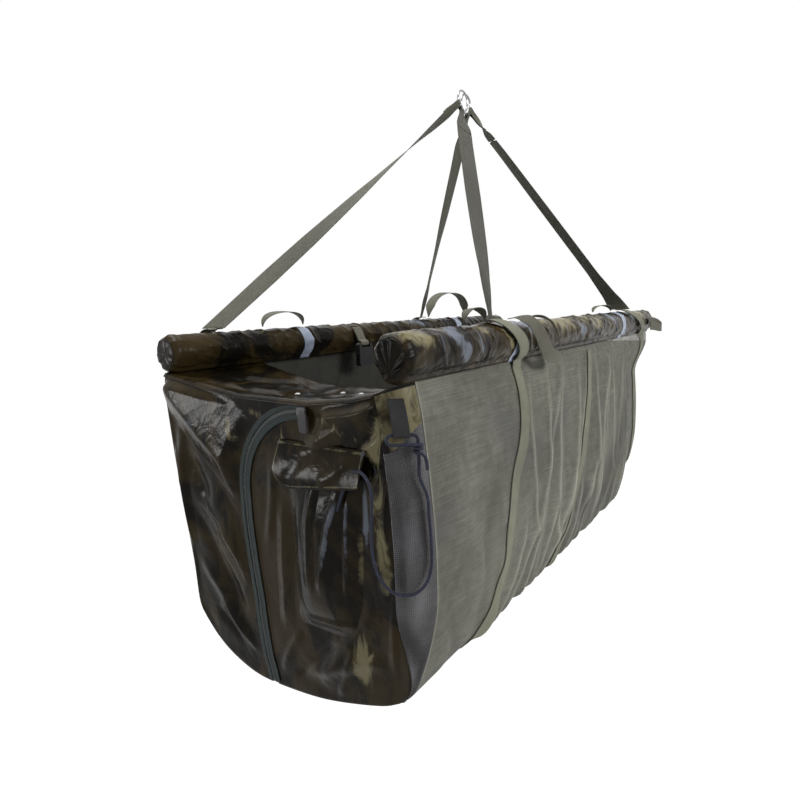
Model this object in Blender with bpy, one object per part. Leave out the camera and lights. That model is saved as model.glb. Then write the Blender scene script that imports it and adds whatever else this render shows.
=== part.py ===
"""Floating retainer sling: two float tubes, a mesh bag, four lifting straps and two steel rings.

World frame: X along the float tubes (near end at -X), Y across, Z up.
The origin is the point where both rings hang on a scale's hook.
"""
import math
import bpy
import bmesh
import numpy as np
from mathutils import Vector, geometry

for old in list(bpy.data.objects):
    bpy.data.objects.remove(old, do_unlink=True)

# Driving dimensions, metres
TUBE_LENGTH = 1.20
TUBE_D = 0.066
TUBE_SPACING = 0.45
HANG_HEIGHT = 0.49
SLEEVE_WALL = 0.0015
CAP_LENGTH = 0.003
BAND_WIDTH = 0.025
BAND_THICK = 0.0006
BAND_FROM_END = 0.30
GAP = 0.0003
CLOTH = 0.0012
STRAP_WIDTH = 0.038
STRAP_THICK = 0.0014
WEB_WIDTH = 0.030
WEB_THICK = 0.0016
RING_WIRE_D = 0.004
RING_R = 0.0195
RING_APART = 0.0050
LOOP_HALF_ANGLE = 20.0
LOOP_SPREAD = 43.0
LOOP_MIDDLE = 43.5
TAIL_LENGTH = 0.050
CORD_D = 0.004
CORNER_R = 0.036
ZIP_Y = -0.080
ZIP_Z = -0.688
ZIP_R = 0.126
CHAIN_WIDTH = 0.008
ZIP_SLOT = 0.012
POCKET_DEPTH = 0.0230
HANK_PITCH = 0.0047
HANK_RUN = 0.030
HANK_INNER_R = 0.0085
HANK_TURNS = 3
HANK_LAYERS = 3
HANDLE_AXIS_UP = 0.0017

TUBE_R = TUBE_D / 2
REAR_Y = TUBE_SPACING / 2
FRONT_Y = -TUBE_SPACING / 2
TUBE_Z = -HANG_HEIGHT
NEAR_X = -TUBE_LENGTH / 2
FAR_X = TUBE_LENGTH / 2
BAND_AT = FAR_X - BAND_FROM_END
BAG_FAR_X = FAR_X - 0.015
SLEEVE_TOP = TUBE_Z + TUBE_R
WEB_TUBE_R = TUBE_R + GAP + BAND_THICK + GAP + WEB_THICK / 2
BRIDLE_Z = TUBE_Z + WEB_TUBE_R + WEB_THICK / 2 + GAP + STRAP_THICK / 2
PANEL_OUT = NEAR_X - CLOTH / 2

# Shapes below are drawn for a hang height of 0.49 and ends at 0.60; these move them with the real ones
LOWER = TUBE_Z + 0.49
NEAR_SHIFT = NEAR_X + 0.60
FAR_SHIFT = FAR_X - 0.60

KINDS = {
    "sleeve": ((0.105, 0.090, 0.050), 0.42, 0.0),
    "foam": ((0.62, 0.62, 0.60), 0.85, 0.0),
    "band": ((0.58, 0.64, 0.78), 0.35, 0.0),
    "mesh": ((0.185, 0.185, 0.145), 0.75, 0.0),
    "hood": ((0.045, 0.028, 0.020), 0.80, 0.0),
    "web": ((0.270, 0.270, 0.210), 0.80, 0.0),
    "strap": ((0.125, 0.125, 0.095), 0.80, 0.0),
    "dark": ((0.028, 0.030, 0.032), 0.60, 0.0),
    "zip": ((0.160, 0.230, 0.230), 0.55, 0.0),
    "pull": ((0.420, 0.400, 0.470), 0.60, 0.0),
    "steel": ((0.72, 0.73, 0.75), 0.16, 1.0),
    "cord": ((0.012, 0.014, 0.026), 0.62, 0.0),
    "white": ((0.80, 0.80, 0.78), 0.45, 0.0),
}


def paint(ob, kind):
    """Give the object its own plain material."""
    colour, rough, metal = KINDS[kind]
    mat = bpy.data.materials.new(ob.name)
    mat.use_nodes = True
    shader = mat.node_tree.nodes["Principled BSDF"]
    shader.inputs["Base Color"].default_value = (*colour, 1.0)
    shader.inputs["Roughness"].default_value = rough
    shader.inputs["Metallic"].default_value = metal
    ob.data.materials.append(mat)


def add_mesh(name, verts, faces, kind, origin=(0.0, 0.0, 0.0)):
    """One closed body from points and faces, its origin where asked."""
    origin = Vector(origin)
    mesh = bpy.data.meshes.new(name)
    mesh.from_pydata([Vector(v) - origin for v in verts], [], faces)
    bm = bmesh.new()
    bm.from_mesh(mesh)
    bmesh.ops.remove_doubles(bm, verts=bm.verts, dist=0.000001)
    bmesh.ops.recalc_face_normals(bm, faces=bm.faces)
    bm.to_mesh(mesh)
    bm.free()
    ob = bpy.data.objects.new(name, mesh)
    ob.location = origin
    bpy.context.collection.objects.link(ob)
    paint(ob, kind)
    return ob


def unit(v):
    v = np.asarray(v, float)
    return v / np.maximum(np.linalg.norm(v, axis=-1, keepdims=True), 1e-12)


def ease(t):
    """Smooth step from 0 to 1, flat at both ends."""
    t = np.clip(t, 0.0, 1.0)
    return t * t * (3 - 2 * t)


def smooth_path(points, count):
    """Even points along a smooth curve through the given ones (Catmull-Rom)."""
    p = np.asarray(points, float)
    p = np.vstack([2 * p[0] - p[1], p, 2 * p[-1] - p[-2]])
    out = []
    t = np.linspace(0, 1, 24, endpoint=False)[:, None]
    for a, b, c, d in zip(p[:-3], p[1:-2], p[2:-1], p[3:]):
        out.append(0.5 * (2 * b + (c - a) * t + (2 * a - 5 * b + 4 * c - d) * t**2
                          + (3 * b - a - 3 * c + d) * t**3))
    out = np.vstack(out + [p[-2][None]])
    way = np.concatenate([[0], np.cumsum(np.linalg.norm(np.diff(out, axis=0), axis=1))])
    at = np.linspace(0, way[-1], count)
    return np.stack([np.interp(at, way, out[:, k]) for k in range(out.shape[1])], axis=1)


def grid_solid(name, grid, thick, kind, origin=(0.0, 0.0, 0.0)):
    """A sheet of even thickness round a grid of mid-surface points."""
    g = np.asarray(grid, float)
    n, m = g.shape[:2]
    normal = unit(np.cross(np.gradient(g, axis=0), np.gradient(g, axis=1)))
    top = g + normal * thick / 2
    low = g - normal * thick / 2
    verts = np.vstack([top.reshape(-1, 3), low.reshape(-1, 3)])
    back = n * m
    faces = []
    for i in range(n - 1):
        for j in range(m - 1):
            a, b, c, d = i * m + j, (i + 1) * m + j, (i + 1) * m + j + 1, i * m + j + 1
            faces.append((a, b, c, d))
            faces.append((d + back, c + back, b + back, a + back))
    for i in range(n - 1):
        a, b = i * m, (i + 1) * m
        faces.append((b, a, a + back, b + back))
        a, b = i * m + m - 1, (i + 1) * m + m - 1
        faces.append((a, b, b + back, a + back))
    for j in range(m - 1):
        faces.append((j, j + 1, j + 1 + back, j + back))
        a, b = (n - 1) * m + j, (n - 1) * m + j + 1
        faces.append((b, a, a + back, b + back))
    return add_mesh(name, verts.tolist(), faces, kind, origin)


def ribbon(name, path, across, half, thick, kind, origin=(0.0, 0.0, 0.0), columns=2):
    """Webbing: a strip along a path, its half width and direction given at each point."""
    side = np.linspace(-1, 1, columns)[None, :, None]
    half = np.broadcast_to(np.asarray(half, float), (len(path),))
    grid = np.asarray(path)[:, None, :] + side * (unit(across) * half[:, None])[:, None, :]
    return grid_solid(name, grid, thick, kind, origin)


def lathe(name, profile, centre, axis, kind, segments=40, origin=(0.0, 0.0, 0.0)):
    """A turned solid: profile of (along, radius) pairs; radius 0 closes it on the axis."""
    axis = unit(axis)
    side = unit(np.cross(axis, (0.0, 0.0, 1.0) if abs(axis[2]) < 0.9 else (1.0, 0.0, 0.0)))
    other = np.cross(axis, side)
    turn = np.linspace(0, 2 * math.pi, segments, endpoint=False)
    round_ = np.cos(turn)[:, None] * side + np.sin(turn)[:, None] * other
    verts, rows, faces = [], [], []
    for along, radius in profile:
        if radius == 0:
            rows.append([len(verts)] * segments)
            verts.append(np.asarray(centre) + along * axis)
        else:
            rows.append(list(range(len(verts), len(verts) + segments)))
            verts.extend(np.asarray(centre) + along * axis + radius * round_)
    pairs = list(zip(rows, rows[1:]))
    if profile[0][1] != 0:
        pairs.append((rows[-1], rows[0]))
    for low, high in pairs:
        for k in range(segments):
            q = (k + 1) % segments
            face = [low[k], low[q], high[q], high[k]]
            face = [v for i, v in enumerate(face) if v != face[i - 1]]
            faces.append(face)
    return add_mesh(name, [list(v) for v in verts], faces, kind, origin)


def plate(name, outline, place, thick_dir, kind, holes=(), origin=(0.0, 0.0, 0.0)):
    """A flat plate: a 2-D outline with holes, placed by a function and pushed one thickness."""
    loops = [list(outline)] + [list(h) for h in holes]
    flat = [[Vector((a, b, 0.0)) for a, b in loop] for loop in loops]
    tris = geometry.tessellate_polygon(flat)
    points = [p for loop in loops for p in loop]
    count = len(points)
    front = [np.asarray(place(a, b), float) for a, b in points]
    back = [p + np.asarray(thick_dir) for p in front]
    faces = [tuple(t) for t in tris] + [tuple(v + count for v in reversed(t)) for t in tris]
    start = 0
    for loop in loops:
        n = len(loop)
        for k in range(n):
            a, b = start + k, start + (k + 1) % n
            faces.append((a, b, b + count, a + count))
        start += n
    return add_mesh(name, [list(v) for v in front + back], faces, kind, origin)


def cord(name, points, kind="cord", sides=2, smooth=True, origin=(0.0, 0.0, 0.0)):
    """Round cord: a bevelled curve through the points, with flat ends."""
    data = bpy.data.curves.new(name, "CURVE")
    data.dimensions = "3D"
    data.bevel_depth = CORD_D / 2
    data.bevel_resolution = sides
    data.use_fill_caps = True
    line = data.splines.new("POLY")
    line.points.add(len(points) - 1)
    for slot, p in zip(line.points, points):
        slot.co = (*p, 1.0)
    line.use_smooth = smooth
    ob = bpy.data.objects.new(name, data)
    bpy.context.collection.objects.link(ob)
    paint(ob, kind)
    return ob


def cut_with(ob, tool):
    """Cut one object out of another; the cutter itself never shows."""
    tool.hide_render = True
    tool.display_type = "WIRE"
    step = ob.modifiers.new("cut", "BOOLEAN")
    step.operation = "DIFFERENCE"
    step.solver = "EXACT"
    step.object = tool


def cut(ob, low, high):
    """Cut a box out of an object."""
    low, high = np.asarray(low), np.asarray(high)
    box = bpy.data.meshes.new(ob.name + "_cut")
    bm = bmesh.new()
    bmesh.ops.create_cube(bm, size=1.0)
    for v in bm.verts:
        v.co = Vector((np.asarray(v.co) + 0.5) * (high - low) + low)
    bm.to_mesh(box)
    bm.free()
    tool = bpy.data.objects.new(ob.name + "_cut", box)
    bpy.context.collection.objects.link(tool)
    cut_with(ob, tool)


# The bag's section, near end: (y, z) of front side, floor and rear side
FRONT_LINE = [(-0.2360, -0.5229), (-0.2440, -0.560), (-0.2510, -0.620), (-0.2570, -0.690),
              (-0.2590, -0.750), (-0.2575, -0.820), (-0.2530, -0.870), (-0.2440, -0.905),
              (-0.2270, -0.9250)]
FLOOR_LINE = [(-0.2258, -0.9262), (-0.188, -0.945), (-0.098, -0.972), (-0.020, -0.984),
              (0.050, -0.987), (0.105, -0.974), (0.145, -0.953), (0.1730, -0.9283)]
REAR_LINE = [(0.1742, -0.9270), (0.189, -0.903), (0.1945, -0.835), (0.206, -0.757),
             (0.217, -0.681), (0.2245, -0.610), (0.2290, -0.560), (0.2300, -0.5242)]
FRONT_PATH = smooth_path(FRONT_LINE, 200)
FLOOR_PATH = smooth_path(FLOOR_LINE, 200)
REAR_PATH = smooth_path(REAR_LINE, 200)


def on_path(path, s):
    """Point of a (y, z) path at fraction s."""
    at = np.linspace(0, 1, len(path))
    return np.stack([np.interp(s, at, path[:, 0]), np.interp(s, at, path[:, 1])], axis=-1)


def front_y(z):
    return np.interp(z, FRONT_PATH[::-1, 1], FRONT_PATH[::-1, 0])


def rear_y(z):
    return np.interp(z, REAR_PATH[:, 1], REAR_PATH[:, 0])


def bag_point(path, s, x):
    """The bag narrows and lifts towards its far end."""
    yz = on_path(path, s)
    x = np.broadcast_to(x, yz.shape[:-1])
    end = ease((x - 0.22) / (BAG_FAR_X - 0.22))
    depth = np.clip((-0.522 - yz[..., 1]) / 0.465, 0, 1)
    y = yz[..., 0] * (1 - 0.17 * end * ease(depth / 0.25))
    z = yz[..., 1] + 0.032 * end * depth**2
    return np.stack([x, y, z], axis=-1)


def bag_end(z):
    """The far edge of the cloth draws in at the bottom; z is a height of the plain section."""
    return BAG_FAR_X - 0.045 * ease((-0.80 - z) / 0.17)


def plain_z(z):
    """The height of the plain section that stands at a height of the lifted far end."""
    return z - 0.032 * np.clip((-0.522 - z) / 0.465, 0, 1)**2


def corner_r(z):
    """The near front corner is round, and runs out at the bottom seam."""
    return 0.002 + (CORNER_R - 0.002) * ease((z + 0.925) / 0.13)


def bag_sheet(name, path, rows, columns, near):
    """A cloth panel along the bag from its near to its far edge."""
    s = np.linspace(0, 1, rows)
    z = on_path(path, s)[:, 1]
    left = near(z)
    right = bag_end(z)
    straight = np.linspace(0, 1, 5)[None, :-1]
    bowed = np.linspace(0, 1, columns - 4)[None, :]
    turn_x = 0.20
    x = np.hstack([left[:, None] + (turn_x - left)[:, None] * straight,
                   turn_x + (right - turn_x)[:, None] * bowed])
    sheet = bag_point(path, np.repeat(s[:, None], columns, 1), x)
    return grid_solid(name, sheet + (0, 0, LOWER), CLOTH, "mesh")


# Float tubes: foam cores in cloth sleeves with end caps and pale bands
for side, y in (("rear", REAR_Y), ("front", FRONT_Y)):
    middle = (0.0, y, TUBE_Z)
    inner = TUBE_R - SLEEVE_WALL
    half = FAR_X - CAP_LENGTH - GAP
    core = inner - GAP
    lathe(side + "_core", [(-half, 0), (-half, core), (half, core), (half, 0)], middle, (1, 0, 0), "foam", 24)
    lathe(side + "_sleeve", [(-half, inner), (-half, TUBE_R), (half, TUBE_R), (half, inner)], middle, (1, 0, 0),
          "sleeve", 36)
    for end, sign in (("near", -1), ("far", 1)):
        start = half + GAP
        prof = [(0, 0), (0, TUBE_R), (CAP_LENGTH * 0.45, TUBE_R), (CAP_LENGTH, TUBE_R - 0.003), (CAP_LENGTH, 0)]
        lathe(side + "_cap_" + end, prof, (sign * start, y, TUBE_Z), (sign, 0, 0), "sleeve", 36)
        low = TUBE_R + GAP
        prof = [(-BAND_WIDTH / 2, low), (-BAND_WIDTH / 2, low + BAND_THICK), (BAND_WIDTH / 2, low + BAND_THICK),
                (BAND_WIDTH / 2, low)]
        lathe(side + "_band_" + end, prof, (sign * BAND_AT, y, TUBE_Z), (1, 0, 0), "band", 36)

# Bag: two mesh sides, floor, round near corner, far end panel
SIDE_NEAR = NEAR_X + CLOTH / 2 + GAP
FRONT_ROWS, FLOOR_ROWS, REAR_ROWS = 16, 11, 11
bag_sheet("front_mesh_side", FRONT_PATH, FRONT_ROWS, 15, lambda z: NEAR_X + corner_r(z) + 0.0011)
bag_sheet("mesh_floor", FLOOR_PATH, FLOOR_ROWS, 15, lambda z: SIDE_NEAR + 0 * z)
bag_sheet("rear_mesh_side", REAR_PATH, REAR_ROWS, 15, lambda z: SIDE_NEAR + 0 * z)


CREASE_Y = (-0.240, -0.200, -0.160, -0.083, 0.060, 0.228)
CREASE_Z = (-0.5290, -0.5360, -0.5420, -0.5490, -0.5470, -0.5330)
UNDER = CLOTH / 2 + GAP + 0.0004


def crease(y):
    """Height of the near end's top edge, which sags between the tubes."""
    return np.interp(y, CREASE_Y, CREASE_Z)


corner_a = np.radians(np.linspace(0, 90, 5))
corner_t = np.linspace(0, 1, 14)[:, None]
corner_top = crease(front_y(-0.532) + CORNER_R - CORNER_R * np.sin(corner_a)) - UNDER
gz = corner_top[None, :] + (-0.9210 - corner_top)[None, :] * corner_t
cr = corner_r(gz)
gx = NEAR_X + cr - cr * np.cos(corner_a)
gy = front_y(gz) + cr - cr * np.sin(corner_a)
grid_solid("near_corner_gusset", np.stack([gx, gy, gz], -1), CLOTH, "mesh")

end_z = np.concatenate([np.linspace(-0.545, -0.89, 9), np.linspace(-0.905, -0.948, 4)])
across = np.linspace(0, 1, 9)


def far_edges(z):
    """Front and rear y of the bag's far section at a height, taken from its own surfaces."""
    s = np.linspace(0, 1, 400)
    out = []
    for path, pick in ((FRONT_PATH, 0), (REAR_PATH, 1)):
        both = bag_point(path, s, BAG_FAR_X)
        floor = bag_point(FLOOR_PATH, s, BAG_FAR_X)
        half = floor[:200] if pick == 0 else floor[200:][::-1]
        wall = both if pick == 0 else both[::-1]
        line = np.vstack([wall, half])
        order = np.argsort(line[:, 2])
        out.append(np.interp(z, line[order, 2], line[order, 1]))
    return out


front_end, rear_end = far_edges(end_z)
edge = -CLOTH / 2
front_end = front_end + edge
rear_end = rear_end - edge
ey = front_end[:, None] + (rear_end - front_end)[:, None] * across
crown = 0.010 * np.sin(np.pi * across)[None, :] * ease((end_z + 0.948) / 0.20)[:, None]
lean = 0.0010 * ease((-0.80 - end_z) / 0.03)[:, None]
ex = bag_end(plain_z(end_z))[:, None] + CLOTH / 2 + 2 * GAP + lean + crown
ez = np.repeat(end_z[:, None], 9, 1)
grid_solid("far_end_panel", np.stack([ex, ey, ez], -1), CLOTH, "sleeve")


# Near end: dark hood under the tubes and a panel cut in two by the zip
HOOD_FRONT_Z = -0.529
HOOD_REAR_Z = -0.540
hood_x = NEAR_X + np.array([-CLOTH / 2, 0.003, 0.009, 0.017, 0.026, 0.036, 0.060, 0.090, 0.120, 0.160, 0.200])
inset = np.clip(NEAR_X + CORNER_R - hood_x, 0, CORNER_R)
round_in = CORNER_R - np.sqrt(CORNER_R**2 - inset**2)
inside_cloth = (CLOTH / 2 + GAP + 0.0011) * ease((hood_x - NEAR_X - CORNER_R + 0.016) / 0.016)
hood_front = front_y(HOOD_FRONT_Z) + round_in + inside_cloth
hood_rear = rear_y(HOOD_REAR_Z) - CLOTH / 2 - GAP - 0.0004 + 0 * hood_x
hood_ys = np.array([hood_front[-1], -0.220, -0.200, -0.180, -0.160, -0.135, -0.109, -0.083, -0.047, -0.012,
                    0.024, 0.060,
                    0.100, 0.145, 0.188, hood_rear[-1]])
t = (hood_ys - hood_front[-1]) / (hood_rear[-1] - hood_front[-1])
hy = hood_front[:, None] + (hood_rear - hood_front)[:, None] * t
sag = 0.010 * np.sin(np.pi * t)[None, :] * ease((hood_x - NEAR_X) / 0.12)[:, None]
hood = np.stack([np.repeat(hood_x[:, None], 16, 1), hy, crease(hy) - sag], -1)
grid_solid("near_hood", hood, CLOTH, "sleeve")
for k, (sx, sy) in enumerate(((-0.537, -0.007), (-0.476, -0.045), (-0.465, -0.080))):
    near = np.linalg.norm(hood[..., :2] - (NEAR_SHIFT + sx, sy), axis=-1)
    row, col = np.unravel_index(np.argmin(near), near.shape)
    top = hood[row, col, 2] + CLOTH / 2 + GAP + 0.0005
    prof = [(0, 0), (0, 0.0042), (0.0012, 0.0040), (0.0022, 0.0024), (0.0022, 0)]
    lathe("hood_stud_%d" % (k + 1), prof, (hood[row, col, 0], hood[row, col, 1], top), (0, 0, 1), "white", 14)

zip_tail = [(ZIP_Y + ZIP_R, ZIP_Z), (0.0455, -0.740), (0.0405, -0.797), (0.0340, -0.850), (0.0295, -0.900),
            (0.0240, -0.940), (0.0160, -0.970), (0.0130, -0.9835)]
arc = [(ZIP_Y + ZIP_R * math.cos(a), ZIP_Z + ZIP_R * math.sin(a)) for a in np.radians(np.linspace(92, 8, 15))]
zip_path = smooth_path(arc + zip_tail, 30)
zip_dir = unit(np.gradient(zip_path, axis=0))
zip_out = np.stack([-zip_dir[:, 1], zip_dir[:, 0]], 1)


def zip_side(offset):
    """The zip's path moved sideways; positive is towards the rear and top."""
    return zip_path + zip_out * np.broadcast_to(offset, (len(zip_path),))[:, None]


def floor_z(y):
    return np.interp(y, FLOOR_PATH[:, 0], FLOOR_PATH[:, 1])


def panel_place(y, z):
    return (NEAR_X - CLOTH / 2, y, z)


slot_rear = zip_side(ZIP_SLOT / 2)
slot_front = zip_side(-ZIP_SLOT / 2)
split = zip_path[0, 0] - 0.006
front_edge = np.stack([gy[:, 0] + 0.0010, gz[:, 0]], 1)
top_ys = np.linspace(split - 0.0008, front_edge[0, 0] + 0.004, 8)
front_edge[0, 1] = crease(front_edge[0, 0]) - UNDER - 0.0008
floor_ys = np.linspace(-0.2225, slot_front[-1, 0] - 0.001, 14)
outline = [(y, crease(y) - UNDER) for y in top_ys]
outline += [tuple(p) for p in front_edge]
outline += [(y, floor_z(y)) for y in floor_ys]
outline += [tuple(p) for p in slot_front[::-1][1:]]
outline += [(split - 0.0008, slot_front[0, 1] - 0.0005)]
plate("near_panel_front", outline, panel_place, (CLOTH, 0, 0), "sleeve")

rear_zs = np.linspace(-0.9255, -0.545, 16)
floor_ys = np.linspace(slot_rear[-1, 0] + 0.001, 0.1735, 10)
top_ys = np.linspace(0.2255, split + 0.0008, 16)
outline = [(y, floor_z(y)) for y in floor_ys]
outline += [(rear_y(z), z) for z in rear_zs]
outline += [(y, crease(y) - UNDER) for y in top_ys]
outline += [(split + 0.0008, slot_rear[0, 1] + 0.0004)]
outline += [tuple(p) for p in slot_rear[:-1]]
plate("near_panel_rear", outline, panel_place, (CLOTH, 0, 0), "sleeve")

tape_x = PANEL_OUT - GAP - 0.0004
above = np.minimum(0.0145, 0.0085 + 0.010 * ease(np.linspace(0, 3, len(zip_path))))
for side, low, high in (("rear", CHAIN_WIDTH / 2 + GAP, above), ("front", -0.0145, -CHAIN_WIDTH / 2 - GAP)):
    a, b = zip_side(low), zip_side(high)
    sides = [np.column_stack([np.full(len(line), tape_x), line]) for line in (a, b)]
    strip = np.stack(sides, 1)
    grid_solid("zip_tape_" + side, strip, 0.0008, "zip")
chain = np.column_stack([np.full(len(zip_path), PANEL_OUT - 0.0004), zip_path])
ribbon("zip_chain", chain, np.column_stack([np.zeros(len(zip_path)), zip_out]), CHAIN_WIDTH / 2, 0.0030, "zip")

zip_axis = (NEAR_X, ZIP_Y, ZIP_Z)
slider_x = chain[0, 0] - 0.0015 - GAP
slider_z = ZIP_Z + ZIP_R
slider = [(-0.008, -0.0035), (-0.004, -0.0060), (0.005, -0.0060), (0.008, -0.0042), (0.008, 0.0042),
          (0.005, 0.0060), (-0.004, 0.0060), (-0.008, 0.0035)]
plate("zip_slider", slider, lambda a, b: (slider_x, ZIP_Y + a - 0.004, slider_z + b), (-0.0036, 0, 0), "dark",
      origin=zip_axis)
pull_x = slider_x - 0.0036 - GAP
pull_z = slider_z + 0.0020
pull = [(-0.0045, 0.0003), (-0.0065, -0.006), (-0.0070, -0.027), (-0.0050, -0.030), (0.0050, -0.030),
        (0.0070, -0.027), (0.0065, -0.006), (0.0045, 0.0003)]
plate("zip_pull", pull, lambda a, b: (pull_x, ZIP_Y + a - 0.008, pull_z + b), (-0.0016, 0, 0), "pull",
      origin=(pull_x - 0.0008, ZIP_Y - 0.008, pull_z))

# Cord pocket, open at the top under its flap
POCKET = {"front": -0.1775, "rear": -0.0440, "top": -0.640, "low": -0.868}
pocket_in = PANEL_OUT - GAP
pocket_out = pocket_in - POCKET_DEPTH
wall = 0.0012


def pocket_ring(x0, x1, in_, z):
    y0, y1 = POCKET["front"] + in_, POCKET["rear"] - in_
    lean = 0.010 * (POCKET["top"] - z) / (POCKET["top"] - POCKET["low"])
    return [(x0, y0 + lean, z), (x1, y0 + lean, z), (x1, y1 - lean * 0.3, z), (x0, y1 - lean * 0.3, z)]


bottom_in = POCKET["low"] + wall
verts = pocket_ring(pocket_in, pocket_out, 0, POCKET["low"])
verts += pocket_ring(pocket_in, pocket_out, 0, POCKET["top"])
verts += pocket_ring(pocket_in - wall, pocket_out + wall, wall, POCKET["top"])
verts += pocket_ring(pocket_in - wall, pocket_out + wall, wall, bottom_in)
faces = [(0, 1, 2, 3), (12, 13, 14, 15)]
for k in range(4):
    q = (k + 1) % 4
    for row in range(3):
        faces.append((row * 4 + k, row * 4 + q, row * 4 + 4 + q, row * 4 + 4 + k))
add_mesh("pocket_body", verts, faces, "sleeve")

FLAP_Z = -0.6030
flap_axis_x = PANEL_OUT - GAP - CLOTH / 2 - 0.0003
flap_ys = np.linspace(-0.1870, -0.0330, 14)
flap_low = np.interp(flap_ys, (-0.187, -0.068, -0.033), (-0.6480, -0.6640, -0.6400))
flap_out = pocket_out - CLOTH / 2 - 0.0010
flap_t = np.linspace(0, 1, 9)
fz = FLAP_Z + (flap_low - FLAP_Z)[None, :] * flap_t[:, None]
slope = np.clip((FLAP_Z - fz) / 0.034, 0, 1)
fx = flap_axis_x + (flap_out - flap_axis_x) * (slope * 1.25 - 0.25 * slope**4)
flap = np.stack([fx, np.repeat(flap_ys[None, :], 9, 0), fz], -1)
grid_solid("pocket_flap", flap, CLOTH, "sleeve", origin=(flap_axis_x, -0.110, FLAP_Z))

# Cradle webs: straps laid on the tubes and on the outside of the bag, row by row
def tube_arc(y, sign, degrees):
    """Rows over a tube's outer face; 0 degrees is its top."""
    a = np.radians(degrees)

    def rows(x):
        return np.stack([x, y + sign * WEB_TUBE_R * np.sin(a), TUBE_Z + WEB_TUBE_R * np.cos(a)], -1)
    return rows


def bag_arc(path, s, lift=WEB_THICK / 2 + CLOTH / 2 + GAP + 0.0002):
    """Rows on the outside of a bag panel."""
    def rows(x):
        step = 0.004
        p = bag_point(path, s, x)
        along = bag_point(path, np.clip(s + step, 0, 1), x) - bag_point(path, np.clip(s - step, 0, 1), x)
        length = bag_point(path, s, x + 0.005) - bag_point(path, s, x - 0.005)
        n = unit(np.cross(along, length))
        flip = np.sign(np.sum(n[:, 1:] * (p[:, 1:] - (0.0, -0.72)), axis=1, keepdims=True))
        return p + n * flip * lift + (0, 0, LOWER)
    return rows


def web(name, pieces, half=WEB_WIDTH / 2, kind="web"):
    """One strip made of pieces: (rows function, x of its middle at each row)."""
    x = np.concatenate([np.asarray(at, float) for _, at in pieces])
    middle = np.vstack([rows(np.asarray(at, float)) for rows, at in pieces])
    slant = unit(np.gradient(middle, axis=0))[:, 0]
    wide = half / np.sqrt(1 - np.clip(slant, -0.75, 0.75)**2)
    columns = []
    for v in (-1.0, -0.33, 0.33, 1.0):
        start, line = 0, []
        for rows, at in pieces:
            here = x[start:start + len(at)] + v * wide[start:start + len(at)]
            line.append(rows(here))
            start += len(at)
        columns.append(np.vstack(line))
    return grid_solid(name, np.stack(columns, 1), WEB_THICK, kind)


C_BASE = np.array((NEAR_X + 0.260, FRONT_Y, BRIDLE_Z))
A_BASE = np.array((NEAR_X + 0.100, REAR_Y, BRIDLE_Z))
B_BASE = np.array((FAR_X - 0.450, REAR_Y, BRIDLE_Z))
D_BASE = np.array((FAR_X - 0.240, FRONT_Y, BRIDLE_Z))

turn = np.arange(-10, 151, 10)
s_front = np.linspace(0, 1, FRONT_ROWS)[1:]
s_floor = np.linspace(0, 1, FLOOR_ROWS)
s_rear = np.linspace(0, 1, REAR_ROWS)[:-1]
z_front = on_path(FRONT_PATH, s_front)[:, 1]
x_front = np.interp(-z_front, (0.52, 0.56, 0.62, 0.665, 0.70, 0.76, 0.82, 0.87, 0.92),
                    (-0.285, -0.277, -0.278, -0.300, -0.332, -0.350, -0.368, -0.402, -0.438))
web("near_cradle_web",
    [(tube_arc(FRONT_Y, -1, turn), C_BASE[0] + 0.055 * ease((turn + 6) / 152)),
     (bag_arc(FRONT_PATH, s_front), x_front + NEAR_SHIFT),
     (bag_arc(FLOOR_PATH, s_floor), np.linspace(NEAR_X + 0.160, NEAR_X + 0.105, FLOOR_ROWS)),
     (bag_arc(REAR_PATH, s_rear), np.linspace(NEAR_X + 0.104, NEAR_X + 0.100, REAR_ROWS - 1)),
     (tube_arc(REAR_Y, 1, turn[::-1]), np.full(len(turn), A_BASE[0]))])

x_front = np.interp(-z_front, (0.52, 0.56, 0.631, 0.707, 0.80, 0.848, 0.90),
                    (0.080, 0.060, 0.036, 0.000, -0.060, -0.090, -0.150))
web("far_cradle_web",
    [(bag_arc(FRONT_PATH, s_front), x_front + FAR_SHIFT),
     (bag_arc(FLOOR_PATH, s_floor), np.linspace(FAR_X - 0.758, FAR_X - 0.500, FLOOR_ROWS)),
     (bag_arc(REAR_PATH, s_rear), np.linspace(FAR_X - 0.490, FAR_X - 0.450, REAR_ROWS - 1)),
     (tube_arc(REAR_Y, 1, turn[::-1]), np.full(len(turn), B_BASE[0]))])

edge_in = np.interp(-z_front, (0.52, 0.60, 0.9), (0.062, 0.024, 0.024))
web("far_edge_web",
    [(tube_arc(FRONT_Y, -1, turn), D_BASE[0] + 0.135 * ease((turn + 6) / 170)),
     (bag_arc(FRONT_PATH, s_front[:-1]), (bag_end(z_front) - edge_in)[:-1])])

# Loop of webbing standing out past the front tube's far end
loop_x = FAR_X - np.array([0.080, 0.055, 0.025, 0.000, -0.0135, -0.0060, 0.020, 0.050, 0.075])
loop_y = FRONT_Y - TUBE_R - np.array([0.0012, 0.0013, 0.0022, 0.0046, 0.0100, 0.0155, 0.0140, 0.0090, 0.0042])
loop_z = TUBE_Z - np.array([0.0, 0.0005, 0.0025, 0.0065, 0.0130, 0.0190, 0.0180, 0.0140, 0.0120])
loop = smooth_path(np.stack([loop_x, loop_y, loop_z], 1), 26)
ribbon("far_end_loop", loop, np.tile((0.0, 0.0, 1.0), (26, 1)), 0.011, WEB_THICK, "strap")


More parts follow.
